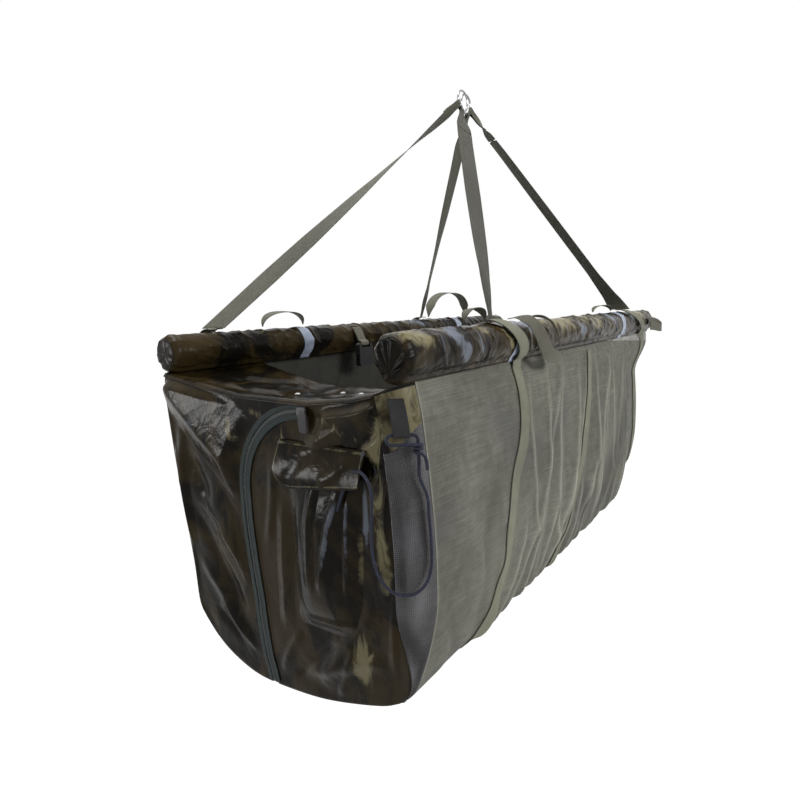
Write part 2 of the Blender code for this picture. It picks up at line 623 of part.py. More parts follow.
# Lifting straps: from each tube's top to the rings, looped round the wire
def strap(name, base, ring, mirror, degrees, axis, width_at, twist_at):
    """A strap in the plane of its hinge axis, twisting on its way up to a loop on the ring wire."""
    mid = math.radians(degrees)
    angles = mid + np.radians(LOOP_HALF_ANGLE) * np.linspace(-1, 1, 4)
    radial = np.stack([mirror * np.sin(angles), 0 * angles, -np.cos(angles)], 1)
    wire = ring + RING_R * radial
    out = np.array((mirror * math.sin(mid), 0.0, -math.cos(mid)))
    along = np.array((mirror * math.cos(mid), 0.0, math.sin(mid)))
    top = ring + RING_R * out
    length = np.linalg.norm(top - base)
    up = (top - base) / length
    lean = float(np.dot(axis, up))
    ref = unit(axis - lean * up)
    oth = np.cross(up, ref)
    pull = -up - np.dot(-up, along) * along
    pull = unit(pull)
    cross = unit(np.cross(along, pull))
    tilt = math.atan2(np.dot(pull, (0, 1, 0)), np.dot(pull, out))
    e1 = math.cos(tilt) * radial + math.sin(tilt) * np.array((0, 1, 0))
    e2 = -math.sin(tilt) * radial + math.cos(tilt) * np.array((0, 1, 0))
    last = math.radians(twist_at[1][-1])
    psi = math.atan2(np.dot(along, oth), np.dot(along, ref))
    psi += math.pi * round((last - psi) / math.pi)
    fractions = list(twist_at[0]) + [1.0]
    twists = list(np.radians(twist_at[1])) + [psi]
    loop_r = RING_WIRE_D / 2 + 0.0004 + STRAP_THICK / 2
    flat = STRAP_THICK / 2 + 0.00025

    def row(d, side):
        """One row across the strap at a distance below the ring wire."""
        f = 1 - d / length
        twist = np.interp(f, fractions, twists)
        w = math.cos(twist) * ref + math.sin(twist) * oth
        half = np.interp(f, width_at[0], width_at[1])
        shear = half * lean / math.sqrt(1 - lean**2) * (1 - ease(f / 0.07))
        if np.dot(w, along if math.cos(psi - twist) >= 0 else -along) < 0 and d < 0.08:
            w = -w
        v = np.linspace(-1, 1, 4)[:, None]
        nrm = unit(np.cross(w, up))
        if np.dot(nrm, cross) < 0:
            nrm = -nrm
        keep = 1 if side < 0 else 1 - ease((d - 0.06) / 0.06)
        apart = flat + (loop_r - flat) * (1 - ease(d / 0.016))
        straight = top - d * up + v * (half * w + shear * up) + side * apart * keep * nrm
        bent = wire - d * up + side * apart * e2 * np.sign(np.dot(cross, e2[1]))
        flip = np.sign(np.dot(w, along)) or 1.0
        bent = bent if flip > 0 else bent[::-1]
        blend = ease(d / 0.065)
        return bent * (1 - blend) + straight * blend

    steps = np.concatenate([np.linspace(length, 0.14, 17)[:-1], np.linspace(0.14, 0.0, 13)])
    rows = [row(d, 1) for d in steps]
    sign = np.sign(np.dot(cross, e2[1]))
    flip = rows[-1][0] @ along > rows[-1][-1] @ along
    for a in np.radians(np.linspace(90, 270, 9))[1:-1]:
        ring_row = wire + loop_r * (math.cos(a) * e1 + sign * math.sin(a) * e2)
        rows.append(ring_row[::-1] if flip else ring_row)
    rows += [row(d, -1) for d in np.linspace(0.0, TAIL_LENGTH, 6)]
    return grid_solid(name, np.array(rows), STRAP_THICK, "strap", origin=tuple(base))


half_apart = RING_APART / 2
NEAR_RING = np.array((-0.0112, -half_apart, -0.0134))
FAR_RING = np.array((0.0112, half_apart, -0.0134))
near_axis = unit(C_BASE - A_BASE)
far_axis = unit(D_BASE - B_BASE)
wide = STRAP_WIDTH / 2
full = ((0.0, 0.88, 0.97, 1.0), (wide, wide, 0.013, 0.009))
neck = ((0.0, 0.04, 0.09, 0.13, 0.18, 0.88, 0.97, 1.0), (0.003, 0.0035, 0.007, 0.013, wide, wide, 0.013, 0.009))
outer_loop = LOOP_MIDDLE + LOOP_SPREAD / 2
inner_loop = LOOP_MIDDLE - LOOP_SPREAD / 2
strap("strap_rear_near", A_BASE, NEAR_RING, -1, outer_loop, near_axis, full,
      ((0.0, 0.2, 0.35, 0.42, 0.49, 0.56, 0.64, 0.72, 0.80, 0.88, 0.93),
       (0, 4, -1, -7, -13, -19, -29, -36, -44, -55, -66)))
strap("strap_front_near", C_BASE, NEAR_RING, -1, inner_loop, near_axis, neck,
      ((0.0, 0.04, 0.08, 0.12, 0.17, 0.23, 0.30, 0.40, 0.52, 0.90), (0, 10, 40, 60, 69, 63, 58, 54, 50, 50)))
strap("strap_rear_far", B_BASE, FAR_RING, 1, inner_loop, far_axis, neck,
      ((0.0, 0.04, 0.08, 0.12, 0.18, 0.30, 0.40, 0.55, 0.70, 0.90), (0, 12, 45, 70, 84, 81, 78, 67, 62, 57)))
strap("strap_front_far", D_BASE, FAR_RING, 1, outer_loop, far_axis, full,
      ((0.0, 0.08, 0.20, 0.50, 0.70, 0.90), (0, -36, -52, -55, -58, -62)))

for name, centre in (("ring_near", NEAR_RING), ("ring_far", FAR_RING)):
    prof = [(RING_WIRE_D / 2 * math.sin(a), RING_R + RING_WIRE_D / 2 * math.cos(a))
            for a in np.linspace(0, 2 * math.pi, 8, endpoint=False)]
    lathe(name, prof, centre, (0, 1, 0), "steel", 36, origin=tuple(centre))


# Carrying handles: arches of webbing sewn down at both feet
def handle(name, x0, x1, y, height, half, inward, power=2.4):
    """An arch across the tube's top that leans a little towards the bag."""
    middle, reach = (x0 + x1) / 2, (x1 - x0) / 2
    t = np.linspace(math.pi, 0, 17)
    ax = np.sign(np.cos(t)) * np.abs(np.cos(t)) ** (2 / power) * reach
    up = np.abs(np.sin(t)) ** (2 / power) * height
    up[0] = up[-1] = -0.0010
    widths = np.minimum(half, 0.0012 + 0.45 * np.maximum(up, 0))
    tilt = math.radians(5) * inward
    zero = 0 * up
    foot_z = SLEEVE_TOP + HANDLE_AXIS_UP
    path = np.stack([middle + ax, y + up * math.sin(tilt), foot_z + up * math.cos(tilt)], 1)
    side = np.tile((0.0, math.cos(tilt), -math.sin(tilt)), (len(t), 1))
    return ribbon(name, path, side, widths + zero, STRAP_THICK, "strap",
                  origin=(middle, y, SLEEVE_TOP + HANDLE_AXIS_UP))


handle("handle_rear_near", NEAR_X + 0.209, NEAR_X + 0.3145, REAR_Y, 0.026, 0.012, -1)
handle("handle_rear_far", FAR_X - 0.414, FAR_X - 0.218, REAR_Y, 0.064, 0.014, -1)
handle("handle_front_near", NEAR_X + 0.180, NEAR_X + 0.242, FRONT_Y, 0.018, 0.008, 1, 2.2)
handle("handle_front_far", FAR_X - 0.450, FAR_X - 0.315, FRONT_Y, 0.013, 0.0065, 1)

# The middle front handle has flopped over the tube's outer face and hangs down it
MID_HALF = 0.0115
MID_TURN = math.radians(65)
t = np.linspace(0, 1, 31)
mid_at = (0.319, 0.321, 0.368, 0.412, 0.424, 0.396, 0.384)
mid_x = NEAR_X + np.interp(t, (0, 0.12, 0.35, 0.50, 0.65, 0.88, 1), mid_at)
swing_r = TUBE_R + 0.0175
way = (math.pi / 2 * swing_r + 0.034) * np.sin(np.pi * t) ** 0.7
angle = np.minimum(way / (math.pi / 2 * swing_r), 1) * math.pi / 2
beyond = np.maximum(way - math.pi / 2 * swing_r, 0)
radius = TUBE_R + HANDLE_AXIS_UP + (swing_r - TUBE_R - HANDLE_AXIS_UP) * ease(angle / 1.15)
radius[0] = radius[-1] = TUBE_R + STRAP_THICK / 2 + GAP
path = np.stack([mid_x, FRONT_Y - radius * np.sin(angle), TUBE_Z + radius * np.cos(angle) - beyond], 1)
path = smooth_path(path, 31)
outward = np.stack([0 * t, path[:, 1] - FRONT_Y, np.maximum(path[:, 2] - TUBE_Z, 0)], 1)
room = np.linalg.norm(outward, axis=1) - TUBE_R - 0.0036
outward = unit(outward)
sideways = unit(np.cross(outward, np.gradient(path, axis=0)))
side = math.cos(MID_TURN) * outward + math.sin(MID_TURN) * sideways
ribbon("handle_front_mid", path, side, np.clip(1.3 * room, 0.0006, MID_HALF), STRAP_THICK, "strap",
       origin=(NEAR_X + 0.351, FRONT_Y, SLEEVE_TOP + HANDLE_AXIS_UP))


# Buckle halves that hang inside the mouth on short tabs, each turning on its own round bar
BUCKLE_X = -0.150
BUCKLE_W = 0.045
BUCKLE_H = 0.050
BUCKLE_T = 0.012
MALE_T = 0.006
BAR_R = 0.0022
BAR_Z = TUBE_Z - 0.0142
TAB_THICK = 0.0012
HANG_OUT = TUBE_R + 0.014


def tab_line():
    """The tab's line seen along the tube: distance from the tube's axis, and height."""
    near_r = TUBE_R + GAP + TAB_THICK / 2
    far_r = near_r + TAB_THICK + 0.0004
    wrap = BAR_R + GAP + TAB_THICK / 2
    down = [(near_r * math.cos(a), TUBE_Z + near_r * math.sin(a)) for a in np.radians((40, 32, 24))]
    bow = [(HANG_OUT - wrap * math.cos(a), BAR_Z - wrap * math.sin(a)) for a in np.radians(np.arange(0, 181, 30))]
    rise = [(HANG_OUT + 0.0012, TUBE_Z - 0.0090), (TUBE_R + 0.0093, TUBE_Z - 0.0055),
            (TUBE_R + 0.0058, TUBE_Z + 0.0016)]
    home = [(far_r * math.cos(a), TUBE_Z + far_r * math.sin(a)) for a in np.radians((24, 34))]
    return smooth_path(np.array(down + bow + rise + home), 40)


def rounded(x0, x1, z0, z1, r):
    """Outline of a box with round corners."""
    out = []
    centres = ((x1 - r, z1 - r, 0), (x0 + r, z1 - r, 90), (x0 + r, z0 + r, 180), (x1 - r, z0 + r, 270))
    for cx, cz, start in centres:
        for step in range(5):
            a = math.radians(start + step * 22.5)
            out.append((cx + r * math.cos(a), cz + r * math.sin(a)))
    return out


def round_bar(ob, y):
    """Cut the plate round its bar, so that the bar can turn in the tab."""
    low, high = BAR_Z - 0.0060, BAR_Z + 0.0060
    square = [(y - 0.010, low), (y + 0.010, low), (y + 0.010, high), (y - 0.010, high)]
    turns = np.radians(np.arange(15, 360, 30))
    circle = [(y + BAR_R * math.cos(a), BAR_Z + BAR_R * math.sin(a)) for a in turns]
    tool = plate(ob.name + "_bar_cut", square, lambda a, b: (BUCKLE_X - BAR_HALF, a, b),
                 (2 * BAR_HALF, 0, 0), "dark", holes=[circle])
    cut_with(ob, tool)


BAR_HALF = 0.0146
for side, sign in (("rear", 1), ("front", -1)):
    line = tab_line()
    path = np.column_stack([np.full(len(line), BUCKLE_X), sign * (TUBE_SPACING / 2 - line[:, 0]), line[:, 1]])
    ribbon("buckle_tab_" + side, path, np.tile((1.0, 0.0, 0.0), (len(line), 1)), 0.0125, TAB_THICK, "strap")

buckle_top = BAR_Z + BAR_R
slot_low, slot_high = BAR_Z - 0.0078, BAR_Z - 0.0010
slot = rounded(BUCKLE_X - BAR_HALF + 0.0008, BUCKLE_X + BAR_HALF - 0.0008, slot_low, slot_high, 0.0012)
rear_hang = TUBE_SPACING / 2 - HANG_OUT
body = rounded(BUCKLE_X - BUCKLE_W / 2, BUCKLE_X + BUCKLE_W / 2, buckle_top - BUCKLE_H, buckle_top, 0.006)
female = plate("buckle_female", body, lambda x, z: (x, rear_hang - BUCKLE_T / 2, z), (0, BUCKLE_T, 0), "dark",
               holes=[slot], origin=(BUCKLE_X, rear_hang, BAR_Z))
round_bar(female, rear_hang)
socket_top = buckle_top - BUCKLE_H + 0.028
SOCKET = 0.0036
cut(female, (BUCKLE_X - 0.0170, rear_hang - SOCKET, buckle_top - BUCKLE_H - 0.005),
    (BUCKLE_X + 0.0170, rear_hang + SOCKET, socket_top))
cut(female, (BUCKLE_X - 0.0300, rear_hang - SOCKET, socket_top - 0.0160),
    (BUCKLE_X + 0.0300, rear_hang + SOCKET, socket_top - 0.0040))

prong = [(-0.0225, 0), (-0.0225, -0.0240), (-0.0165, -0.0270), (-0.0160, -0.0375), (-0.0195, -0.0390),
         (-0.0195, -0.0430), (-0.0130, -0.0515), (-0.0112, -0.0515), (-0.0112, -0.0285), (-0.0035, -0.0278),
         (-0.0035, -0.0510)]
prong = prong + [(-x, z) for x, z in reversed(prong)]
male_slot = [(x - BUCKLE_X, z - buckle_top) for x, z in slot]
male = plate("buckle_male", prong, lambda x, z: (BUCKLE_X + x, -rear_hang - MALE_T / 2, buckle_top + z),
             (0, MALE_T, 0), "dark", holes=[male_slot], origin=(BUCKLE_X, -rear_hang, BAR_Z))
round_bar(male, -rear_hang)

# Cord tab on the near front corner
tab_turn = math.atan2(0.639, 0.769)


def corner_spot(out, z, w=0.0):
    """A place at a distance outside the corner cloth, and w along the tab's width."""
    z = float(z)
    r = CORNER_R + out
    cx, cyy = NEAR_X + CORNER_R, float(front_y(z)) + CORNER_R
    return np.array((cx - r * math.cos(tab_turn) + w * math.sin(tab_turn),
                     cyy - r * math.sin(tab_turn) - w * math.cos(tab_turn), z))


EYE_OUT, EYE_Z = 0.0100, -0.5790
EYE_R = CORD_D / 2 + 0.0004 + 0.0007
inner = [(0.0018, -0.5380), (0.0026, -0.5520), (0.0046, -0.5660)]
bow = [(EYE_OUT - EYE_R * math.cos(a), EYE_Z - EYE_R * math.sin(a)) for a in np.radians(np.linspace(0, 180, 9))]
outer = [(0.0118, -0.5660), (0.0076, -0.5530), (0.0041, -0.5390)]
flat = smooth_path(inner + bow + outer, 30)
path = np.array([corner_spot(o, z) for o, z in flat])
ribbon("cord_tab", path, np.tile((math.sin(tab_turn), -math.cos(tab_turn), 0), (30, 1)), 0.0100, 0.0014, "dark")

# Knot at the tab: up, through the eye, round itself twice, and a short tail
KNOT_W = 0.0190
HELIX_R = 0.0045
HELIX_PITCH = 0.0048
KNOT_LOW = -0.6120
eye = corner_spot(EYE_OUT, EYE_Z)
w_dir = np.array((math.sin(tab_turn), -math.cos(tab_turn), 0.0))
n_dir = np.array((-math.cos(tab_turn), -math.sin(tab_turn), 0.0))


def knot_at(w, n, z):
    return np.array((eye[0], eye[1], 0)) + w * w_dir + n * n_dir + np.array((0, 0, z))


back_z = EYE_Z - 0.0112
stand = [knot_at(KNOT_W, 0, z) for z in np.linspace(KNOT_LOW, EYE_Z - 0.0075, 6)]
bend = [knot_at(KNOT_W - 0.0070 + 0.0070 * math.cos(a), 0, EYE_Z - 0.0070 + 0.0070 * math.sin(a))
        for a in np.radians(np.linspace(12, 90, 5))]
through = [knot_at(w, 0, EYE_Z) for w in (0.006, 0.0, -0.006, -0.0115)]
u_mid = (EYE_Z + back_z) / 2
u_r = (EYE_Z - back_z) / 2
back = [knot_at(-0.0125 - u_r * math.sin(a), 0.0004 * k, u_mid + u_r * math.cos(a))
        for k, a in enumerate(np.radians(np.linspace(25, 180, 6)))]
home = [knot_at(-0.006, 0.0022, back_z), knot_at(0.001, 0.0032, back_z), knot_at(0.008, 0.0040, back_z),
        knot_at(0.0140, HELIX_R, back_z - 0.0001)]
helix = []
for turned in np.linspace(0, 2, 29):
    a = math.radians(90) - 2 * math.pi * turned
    drop = back_z - 0.0003 - HELIX_PITCH * turned
    helix.append(knot_at(KNOT_W + HELIX_R * math.cos(a), HELIX_R * math.sin(a), drop))
z_end = helix[-1][2]
tail = [knot_at(KNOT_W + 0.0035, 0.0050, z_end - 0.0012), knot_at(KNOT_W + 0.0070, 0.0060, z_end - 0.0050),
        knot_at(KNOT_W + 0.0085, 0.0065, z_end - 0.0110), knot_at(KNOT_W + 0.0090, 0.0068, z_end - 0.0200)]
cord("cord_knot", stand + bend + through + back + home + helix + tail, sides=1)

# Hank of spare cord in the pocket: racetrack loops, nested and in layers
hank_mid = np.array(((pocket_in + pocket_out) / 2, -0.1085, -0.7560))


def race(phase, r):
    """A point of a racetrack loop: round ends joined by straight runs along Z."""
    part, t = divmod((phase % 1.0) * 4, 1.0)
    a = math.pi * t
    if part == 0:
        return -r * math.cos(a), HANK_RUN / 2 + r * math.sin(a)
    if part == 1:
        return r, HANK_RUN / 2 - HANK_RUN * t
    if part == 2:
        return r * math.cos(a), -HANK_RUN / 2 - r * math.sin(a)
    return -r, -HANK_RUN / 2 + HANK_RUN * t


hank = []
PER_LOOP = 24
SHIFT = 0.25
for k in range(PER_LOOP * HANK_TURNS * HANK_LAYERS):
    layer, step = divmod(k, PER_LOOP * HANK_TURNS)
    inside = step / PER_LOOP
    final = layer == HANK_LAYERS - 1
    growing = HANK_TURNS - SHIFT
    grow = inside if final else min(inside, growing)
    grow = growing - grow if layer % 2 else grow
    shift = 0.0 if final else float(ease((inside - growing) / SHIFT))
    y, z = race(inside, HANK_INNER_R + HANK_PITCH * grow)
    hank.append(hank_mid + np.array((-(layer - 1 + shift) * HANK_PITCH, y, z)))

# Free cord: out of the pocket under its flap, round the corner and up to the knot
hank_end = hank[-1]
leave = hank[-1] - hank[-2]
leave = leave / np.linalg.norm(leave)
joint_a = hank_end + leave * 0.0003
joint_b = knot_at(KNOT_W, 0, KNOT_LOW - 0.0003)
route = [joint_a, joint_a + leave * 0.012, (-0.6130, -0.1410, -0.6950), (-0.6110, -0.1540, -0.6580),
         (-0.6115, -0.1680, -0.6335), (-0.6150, -0.1850, -0.6262), (-0.6200, -0.1985, -0.6290),
         (-0.6225, -0.2065, -0.6370), (-0.6215, -0.2085, -0.6500), (-0.6190, -0.2055, -0.6720),
         (-0.6180, -0.2025, -0.7000), (-0.6175, -0.2030, -0.7280), (-0.6165, -0.2090, -0.7510),
         (-0.6130, -0.2215, -0.7685), (-0.6075, -0.2365, -0.7745), (-0.5985, -0.2510, -0.7720),
         (-0.5880, -0.2605, -0.7600), (-0.5810, -0.2635, -0.7400), (-0.5790, -0.2630, -0.7120),
         (-0.5795, -0.2615, -0.6800), (-0.5800, -0.2600, -0.6550),
         joint_b - np.array((-0.0005, 0.0002, 0.0180)), joint_b]
drawn = np.array([np.asarray(p, float) for p in route])
drawn[2:-2] += (NEAR_SHIFT, 0, 0)
free = smooth_path(drawn, 64)
cord("cord_hank", hank, sides=1)
cord("retaining_cord", free, sides=2)

hank_pts = np.array(hank)
gaps = np.linalg.norm(hank_pts[:, None] - hank_pts[None], axis=-1)
order = np.abs(np.arange(len(hank_pts))[:, None] - np.arange(len(hank_pts))[None])
print("hank least centre distance mm", round(float(gaps[order > 6].min()) * 1000, 2))
print("hank length m", round(float(np.linalg.norm(np.diff(hank_pts, axis=0), axis=1).sum()), 3))
print("free cord length m", round(float(np.linalg.norm(np.diff(free, axis=0), axis=1).sum()), 3))

# The near end, far end and cord hang with the tubes
for name in ("near_corner_gusset", "far_end_panel", "near_hood", "hood_stud_1", "hood_stud_2", "hood_stud_3",
             "near_panel_front", "near_panel_rear", "zip_tape_rear", "zip_tape_front", "zip_chain", "zip_slider",
             "zip_pull", "pocket_body", "pocket_flap", "cord_tab", "cord_knot", "cord_hank", "retaining_cord"):
    bpy.data.objects[name].location.z += LOWER
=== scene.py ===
"""Looks of the floating retainer sling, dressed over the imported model.

Row frame: X along the float tubes (near end at -X), Y across, Z up, metres.
The origin is where the two rings hang on a scale's hook.
"""
import math
import bmesh
import bpy
import numpy as np
from mathutils import Matrix, Vector


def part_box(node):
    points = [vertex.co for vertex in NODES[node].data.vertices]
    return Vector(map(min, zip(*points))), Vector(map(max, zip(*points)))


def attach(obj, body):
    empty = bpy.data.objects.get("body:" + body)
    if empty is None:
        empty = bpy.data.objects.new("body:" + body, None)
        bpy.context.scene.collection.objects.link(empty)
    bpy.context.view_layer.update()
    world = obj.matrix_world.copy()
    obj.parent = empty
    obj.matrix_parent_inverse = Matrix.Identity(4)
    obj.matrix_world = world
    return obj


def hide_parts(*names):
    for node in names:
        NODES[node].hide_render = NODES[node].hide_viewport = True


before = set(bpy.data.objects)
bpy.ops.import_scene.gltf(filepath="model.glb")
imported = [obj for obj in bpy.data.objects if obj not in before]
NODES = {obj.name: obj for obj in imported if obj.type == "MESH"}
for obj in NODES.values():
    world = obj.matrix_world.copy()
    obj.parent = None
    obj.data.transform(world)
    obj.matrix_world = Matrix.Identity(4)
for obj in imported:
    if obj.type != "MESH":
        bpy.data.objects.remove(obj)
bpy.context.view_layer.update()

# Sizes shared with the solids, metres
TUBE_R = 0.033
TUBE_Z = -0.49
REAR_Y, FRONT_Y = 0.225, -0.225
NEAR_X = -0.60
BAG_FAR_X = 0.585
CLOTH = 0.0012
GAP = 0.0003
STRAP_THICK = 0.0014
STRAP_HALF = 0.019
WEB_THICK = 0.0016
WEB_HALF = 0.015
WEB_TUBE_R = 0.0350
BRIDLE_Z = -0.4532
RING_R = 0.0195
RING_WIRE_R = 0.002
CORNER_R = 0.036
CORD_R = 0.002
PANEL_X = NEAR_X - CLOTH / 2
ZIP_Y, ZIP_Z, ZIP_R = -0.080, -0.688, 0.126


# Small mathematics used by every surface
def unit(v):
    """Each vector divided by its own length."""
    v = np.asarray(v, float)
    return v / np.maximum(np.linalg.norm(v, axis=-1, keepdims=True), 1e-12)


def ease(t):
    """3t^2 - 2t^3 between 0 and 1, flat outside."""
    t = np.clip(t, 0.0, 1.0)
    return t * t * (3 - 2 * t)


def smooth_path(points, count):
    """Even points on the Catmull-Rom curve through the given ones."""
    p = np.asarray(points, float)
    p = np.vstack([2 * p[0] - p[1], p, 2 * p[-1] - p[-2]])
    t = np.linspace(0, 1, 24, endpoint=False)[None, :, None]
    a, b, c, d = (q[:, None, :] for q in (p[:-3], p[1:-2], p[2:-1], p[3:]))
    line = 0.5 * (2 * b + (c - a) * t + (2 * a - 5 * b + 4 * c - d) * t**2 + (3 * b - a - 3 * c + d) * t**3)
    line = np.vstack([line.reshape(-1, p.shape[1]), p[-2][None]])
    way = np.concatenate([[0], np.cumsum(np.linalg.norm(np.diff(line, axis=0), axis=1))])
    at = np.linspace(0, way[-1], count)
    return np.stack([np.interp(at, way, line[:, k]) for k in range(line.shape[1])], axis=1)


def run_length(points):
    """Distance walked along a line of points."""
    return np.concatenate([[0], np.cumsum(np.linalg.norm(np.diff(points, axis=0), axis=1))])


def folds(a, b, lines):
    """Sum of soft ridges: height times exp(-(distance across / width)^2), faded at both ends of its line.

    A line is (a0, b0, a1, b1, height, width) in the surface's own two directions.
    """
    total = np.zeros(np.broadcast(a, b).shape)
    for a0, b0, a1, b1, height, width in lines:
        length = math.hypot(a1 - a0, b1 - b0)
        ua, ub = (a1 - a0) / length, (b1 - b0) / length
        along = ((a - a0) * ua + (b - b0) * ub) / length
        off = (a - a0) * ub - (b - b0) * ua
        bow = 0.06 * length * np.sin(3.1 * along + 40 * a0)
        fade = ease((along + 0.12) / 0.3) * ease((1.12 - along) / 0.3)
        total = total + height * fade * np.exp(-((off - bow * 0.5) / width) ** 2)
    return total


def ripple(a, b, size, seed):
    """A smooth uneven field in -1..1: five crossed sine waves of about one size."""
    total = 0
    for k in range(5):
        turn = 2.4 * k + seed
        wave = 2 * math.pi / (size * (0.75 + 0.17 * k))
        total = total + np.sin(wave * (a * math.cos(turn) + b * math.sin(turn)) + 1.7 * k * seed
                               + 0.8 * np.sin(wave * 0.43 * (a * math.sin(turn) - b * math.cos(turn))))
    return total / 5


def crumple(a, b, size, seed):
    """Crumpled cloth in about 0..1: four sets of sharp crests, 1 - |sin| squared, bent and in patches."""
    total = 0
    for k in range(4):
        turn = 0.9 * k + 1.7 * seed
        across = a * math.cos(turn) + b * math.sin(turn)
        bend = 1.9 * ripple(a, b, size * 3.1, seed + 2 * k + 1)
        patch = ease(0.5 + 0.9 * ripple(a, b, size * 2.3, 3 * seed + k))
        crest = 1 - np.abs(np.sin(math.pi * across / (size * (1 + 0.35 * k)) + bend))
        total = total + patch * crest**2 * (1 - 0.15 * k)
    return total / 2.6


def spots(a, b, places):
    """Sum of soft ovals: (centre a, centre b, half length, half width, turn in degrees, strength)."""
    total = np.zeros(np.broadcast(a, b).shape)
    for ca, cb, long, wide, turn, strength in places:
        c, s = math.cos(math.radians(turn)), math.sin(math.radians(turn))
        u, v = ((a - ca) * c + (b - cb) * s) / long, ((b - cb) * c - (a - ca) * s) / wide
        total = total + strength * np.exp(-(u**2 + v**2))
    return total


# Making pieces
def marks(piece, first, second=0.0):
    """Two masks kept on the points: straw and blue-grey on coated cloth (blue-grey is print on the tubes and
    painted highlight streaks on the near panels and pocket), painted highlight on net folds and painted shade
    on net.
    """
    first, second = np.broadcast_arrays(np.asarray(first, float), second)
    rgba = np.stack([first.ravel(), second.ravel(), 0 * first.ravel(), 1 + 0 * first.ravel()], 1)
    layer = piece.data.attributes.new("marks", "FLOAT_COLOR", "POINT")
    layer.data.foreach_set("color", np.clip(rgba, 0, 1).astype(np.float32).ravel())


def dress(name, mesh, finish, body, nodes):
    """One finished piece: its material, the body it moves with, and the solids it stands for."""
    piece = bpy.data.objects.new(name, mesh)
    bpy.context.scene.collection.objects.link(piece)
    mesh.materials.append(finish)
    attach(piece, body)
    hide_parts(*nodes)
    return piece


def grid_mesh(name, grid, uv, closed=(False, False)):
    """Quads over a grid of points, joined round where a direction is closed, with its own UV in metres."""
    n, m = grid.shape[:2]
    i = np.arange(n if closed[0] else n - 1)[:, None]
    j = np.arange(m if closed[1] else m - 1)[None, :]
    i2, j2 = (i + 1) % n, (j + 1) % m
    quads = np.stack([i * m + j, i2 * m + j, i2 * m + j2, i * m + j2], -1).reshape(-1, 4)
    first = np.stack(np.broadcast_arrays(i, j), -1)
    corners = np.array([(0, 0), (1, 0), (1, 1), (0, 1)])
    at = (first[:, :, None, :] + corners).reshape(-1, 2)
    mesh = bpy.data.meshes.new(name)
    mesh.from_pydata(grid.reshape(-1, 3).tolist(), [], quads.tolist())
    layer = mesh.uv_layers.new(name="UVMap")
    layer.data.foreach_set("uv", uv[at[:, 0], at[:, 1]].astype(np.float32).ravel())
    mesh.polygons.foreach_set("use_smooth", np.ones(len(quads), bool))
    mesh.update()
    return mesh


def grid_uv(grid):
    """UV in metres: the mean distance walked down the rows and across the columns."""
    rows = run_length(grid[:, grid.shape[1] // 2])
    columns = run_length(grid[grid.shape[0] // 2])
    return np.stack(np.meshgrid(rows, columns, indexing="ij"), -1)


def cloth(name, grid, finish, body, nodes, thick=0.0008, uv=None, bevel=False):
    """A sheet of even thickness about a grid of points."""
    mesh = grid_mesh(name, grid, grid_uv(grid) if uv is None else uv)
    piece = dress(name, mesh, finish, body, nodes)
    wall = piece.modifiers.new("wall", "SOLIDIFY")
    wall.thickness = thick
    wall.offset = 0.0
    if bevel:
        rounding = piece.modifiers.new("soft edge", "BEVEL")
        rounding.width = thick * 0.35
        rounding.segments = 2
    return piece


def tube(name, path, radius, finish, body, nodes, around=14):
    """A round cord: a circle carried along a path without twist, with pinched round ends."""
    path = np.asarray(path, float)
    along = unit(np.gradient(path, axis=0))
    side = np.zeros_like(path)
    side[0] = unit(np.cross(along[0], (0.31, 0.90, 0.20)))
    for k in range(1, len(path)):
        side[k] = unit(side[k - 1] - np.dot(side[k - 1], along[k]) * along[k])
    other = np.cross(along, side)
    turn = np.linspace(0, 2 * math.pi, around, endpoint=False)
    path = np.vstack([path[0] - along[0] * radius * 0.3, path, path[-1] + along[-1] * radius * 0.3])
    side, other = (np.vstack([v[:1], v, v[-1:]]) for v in (side, other))
    width = np.full(len(path), radius)
    width[[0, -1]] = radius * 0.45
    ring = np.cos(turn)[None, :, None] * side[:, None] + np.sin(turn)[None, :, None] * other[:, None]
    grid = path[:, None] + ring * width[:, None, None]
    way = run_length(path)
    uv = np.stack(np.meshgrid(way, np.append(turn, 2 * math.pi) * radius, indexing="ij"), -1)
    mesh = grid_mesh(name, grid, uv, (False, True))
    count = len(mesh.vertices)
    faces = [list(range(around))[::-1], list(range(count - around, count))]
    extra = bpy.data.meshes.new(name + "_ends")
    extra.from_pydata([v.co for v in mesh.vertices], [], faces)
    joined = join_meshes(name, mesh, extra)
    return dress(name, joined, finish, body, nodes)


def join_meshes(name, first, second):
    """Two meshes on the same points as one, its faces pointing out."""
    work = bmesh.new()
    work.from_mesh(first)
    work.from_mesh(second)
    bmesh.ops.remove_doubles(work, verts=work.verts, dist=0.0000001)
    bmesh.ops.recalc_face_normals(work, faces=work.faces)
    mesh = bpy.data.meshes.new(name)
    work.to_mesh(mesh)
    work.free()
    bpy.data.meshes.remove(first)
    bpy.data.meshes.remove(second)
    mesh.name = name
    return mesh


# Finishes
BROWN, NEAR_BLACK = (0.040, 0.027, 0.010), (0.0055, 0.0045, 0.0030)
STRAW, BLUE_GREY = (0.235, 0.208, 0.118), (0.165, 0.185, 0.225)
LILAC = (0.120, 0.115, 0.135)


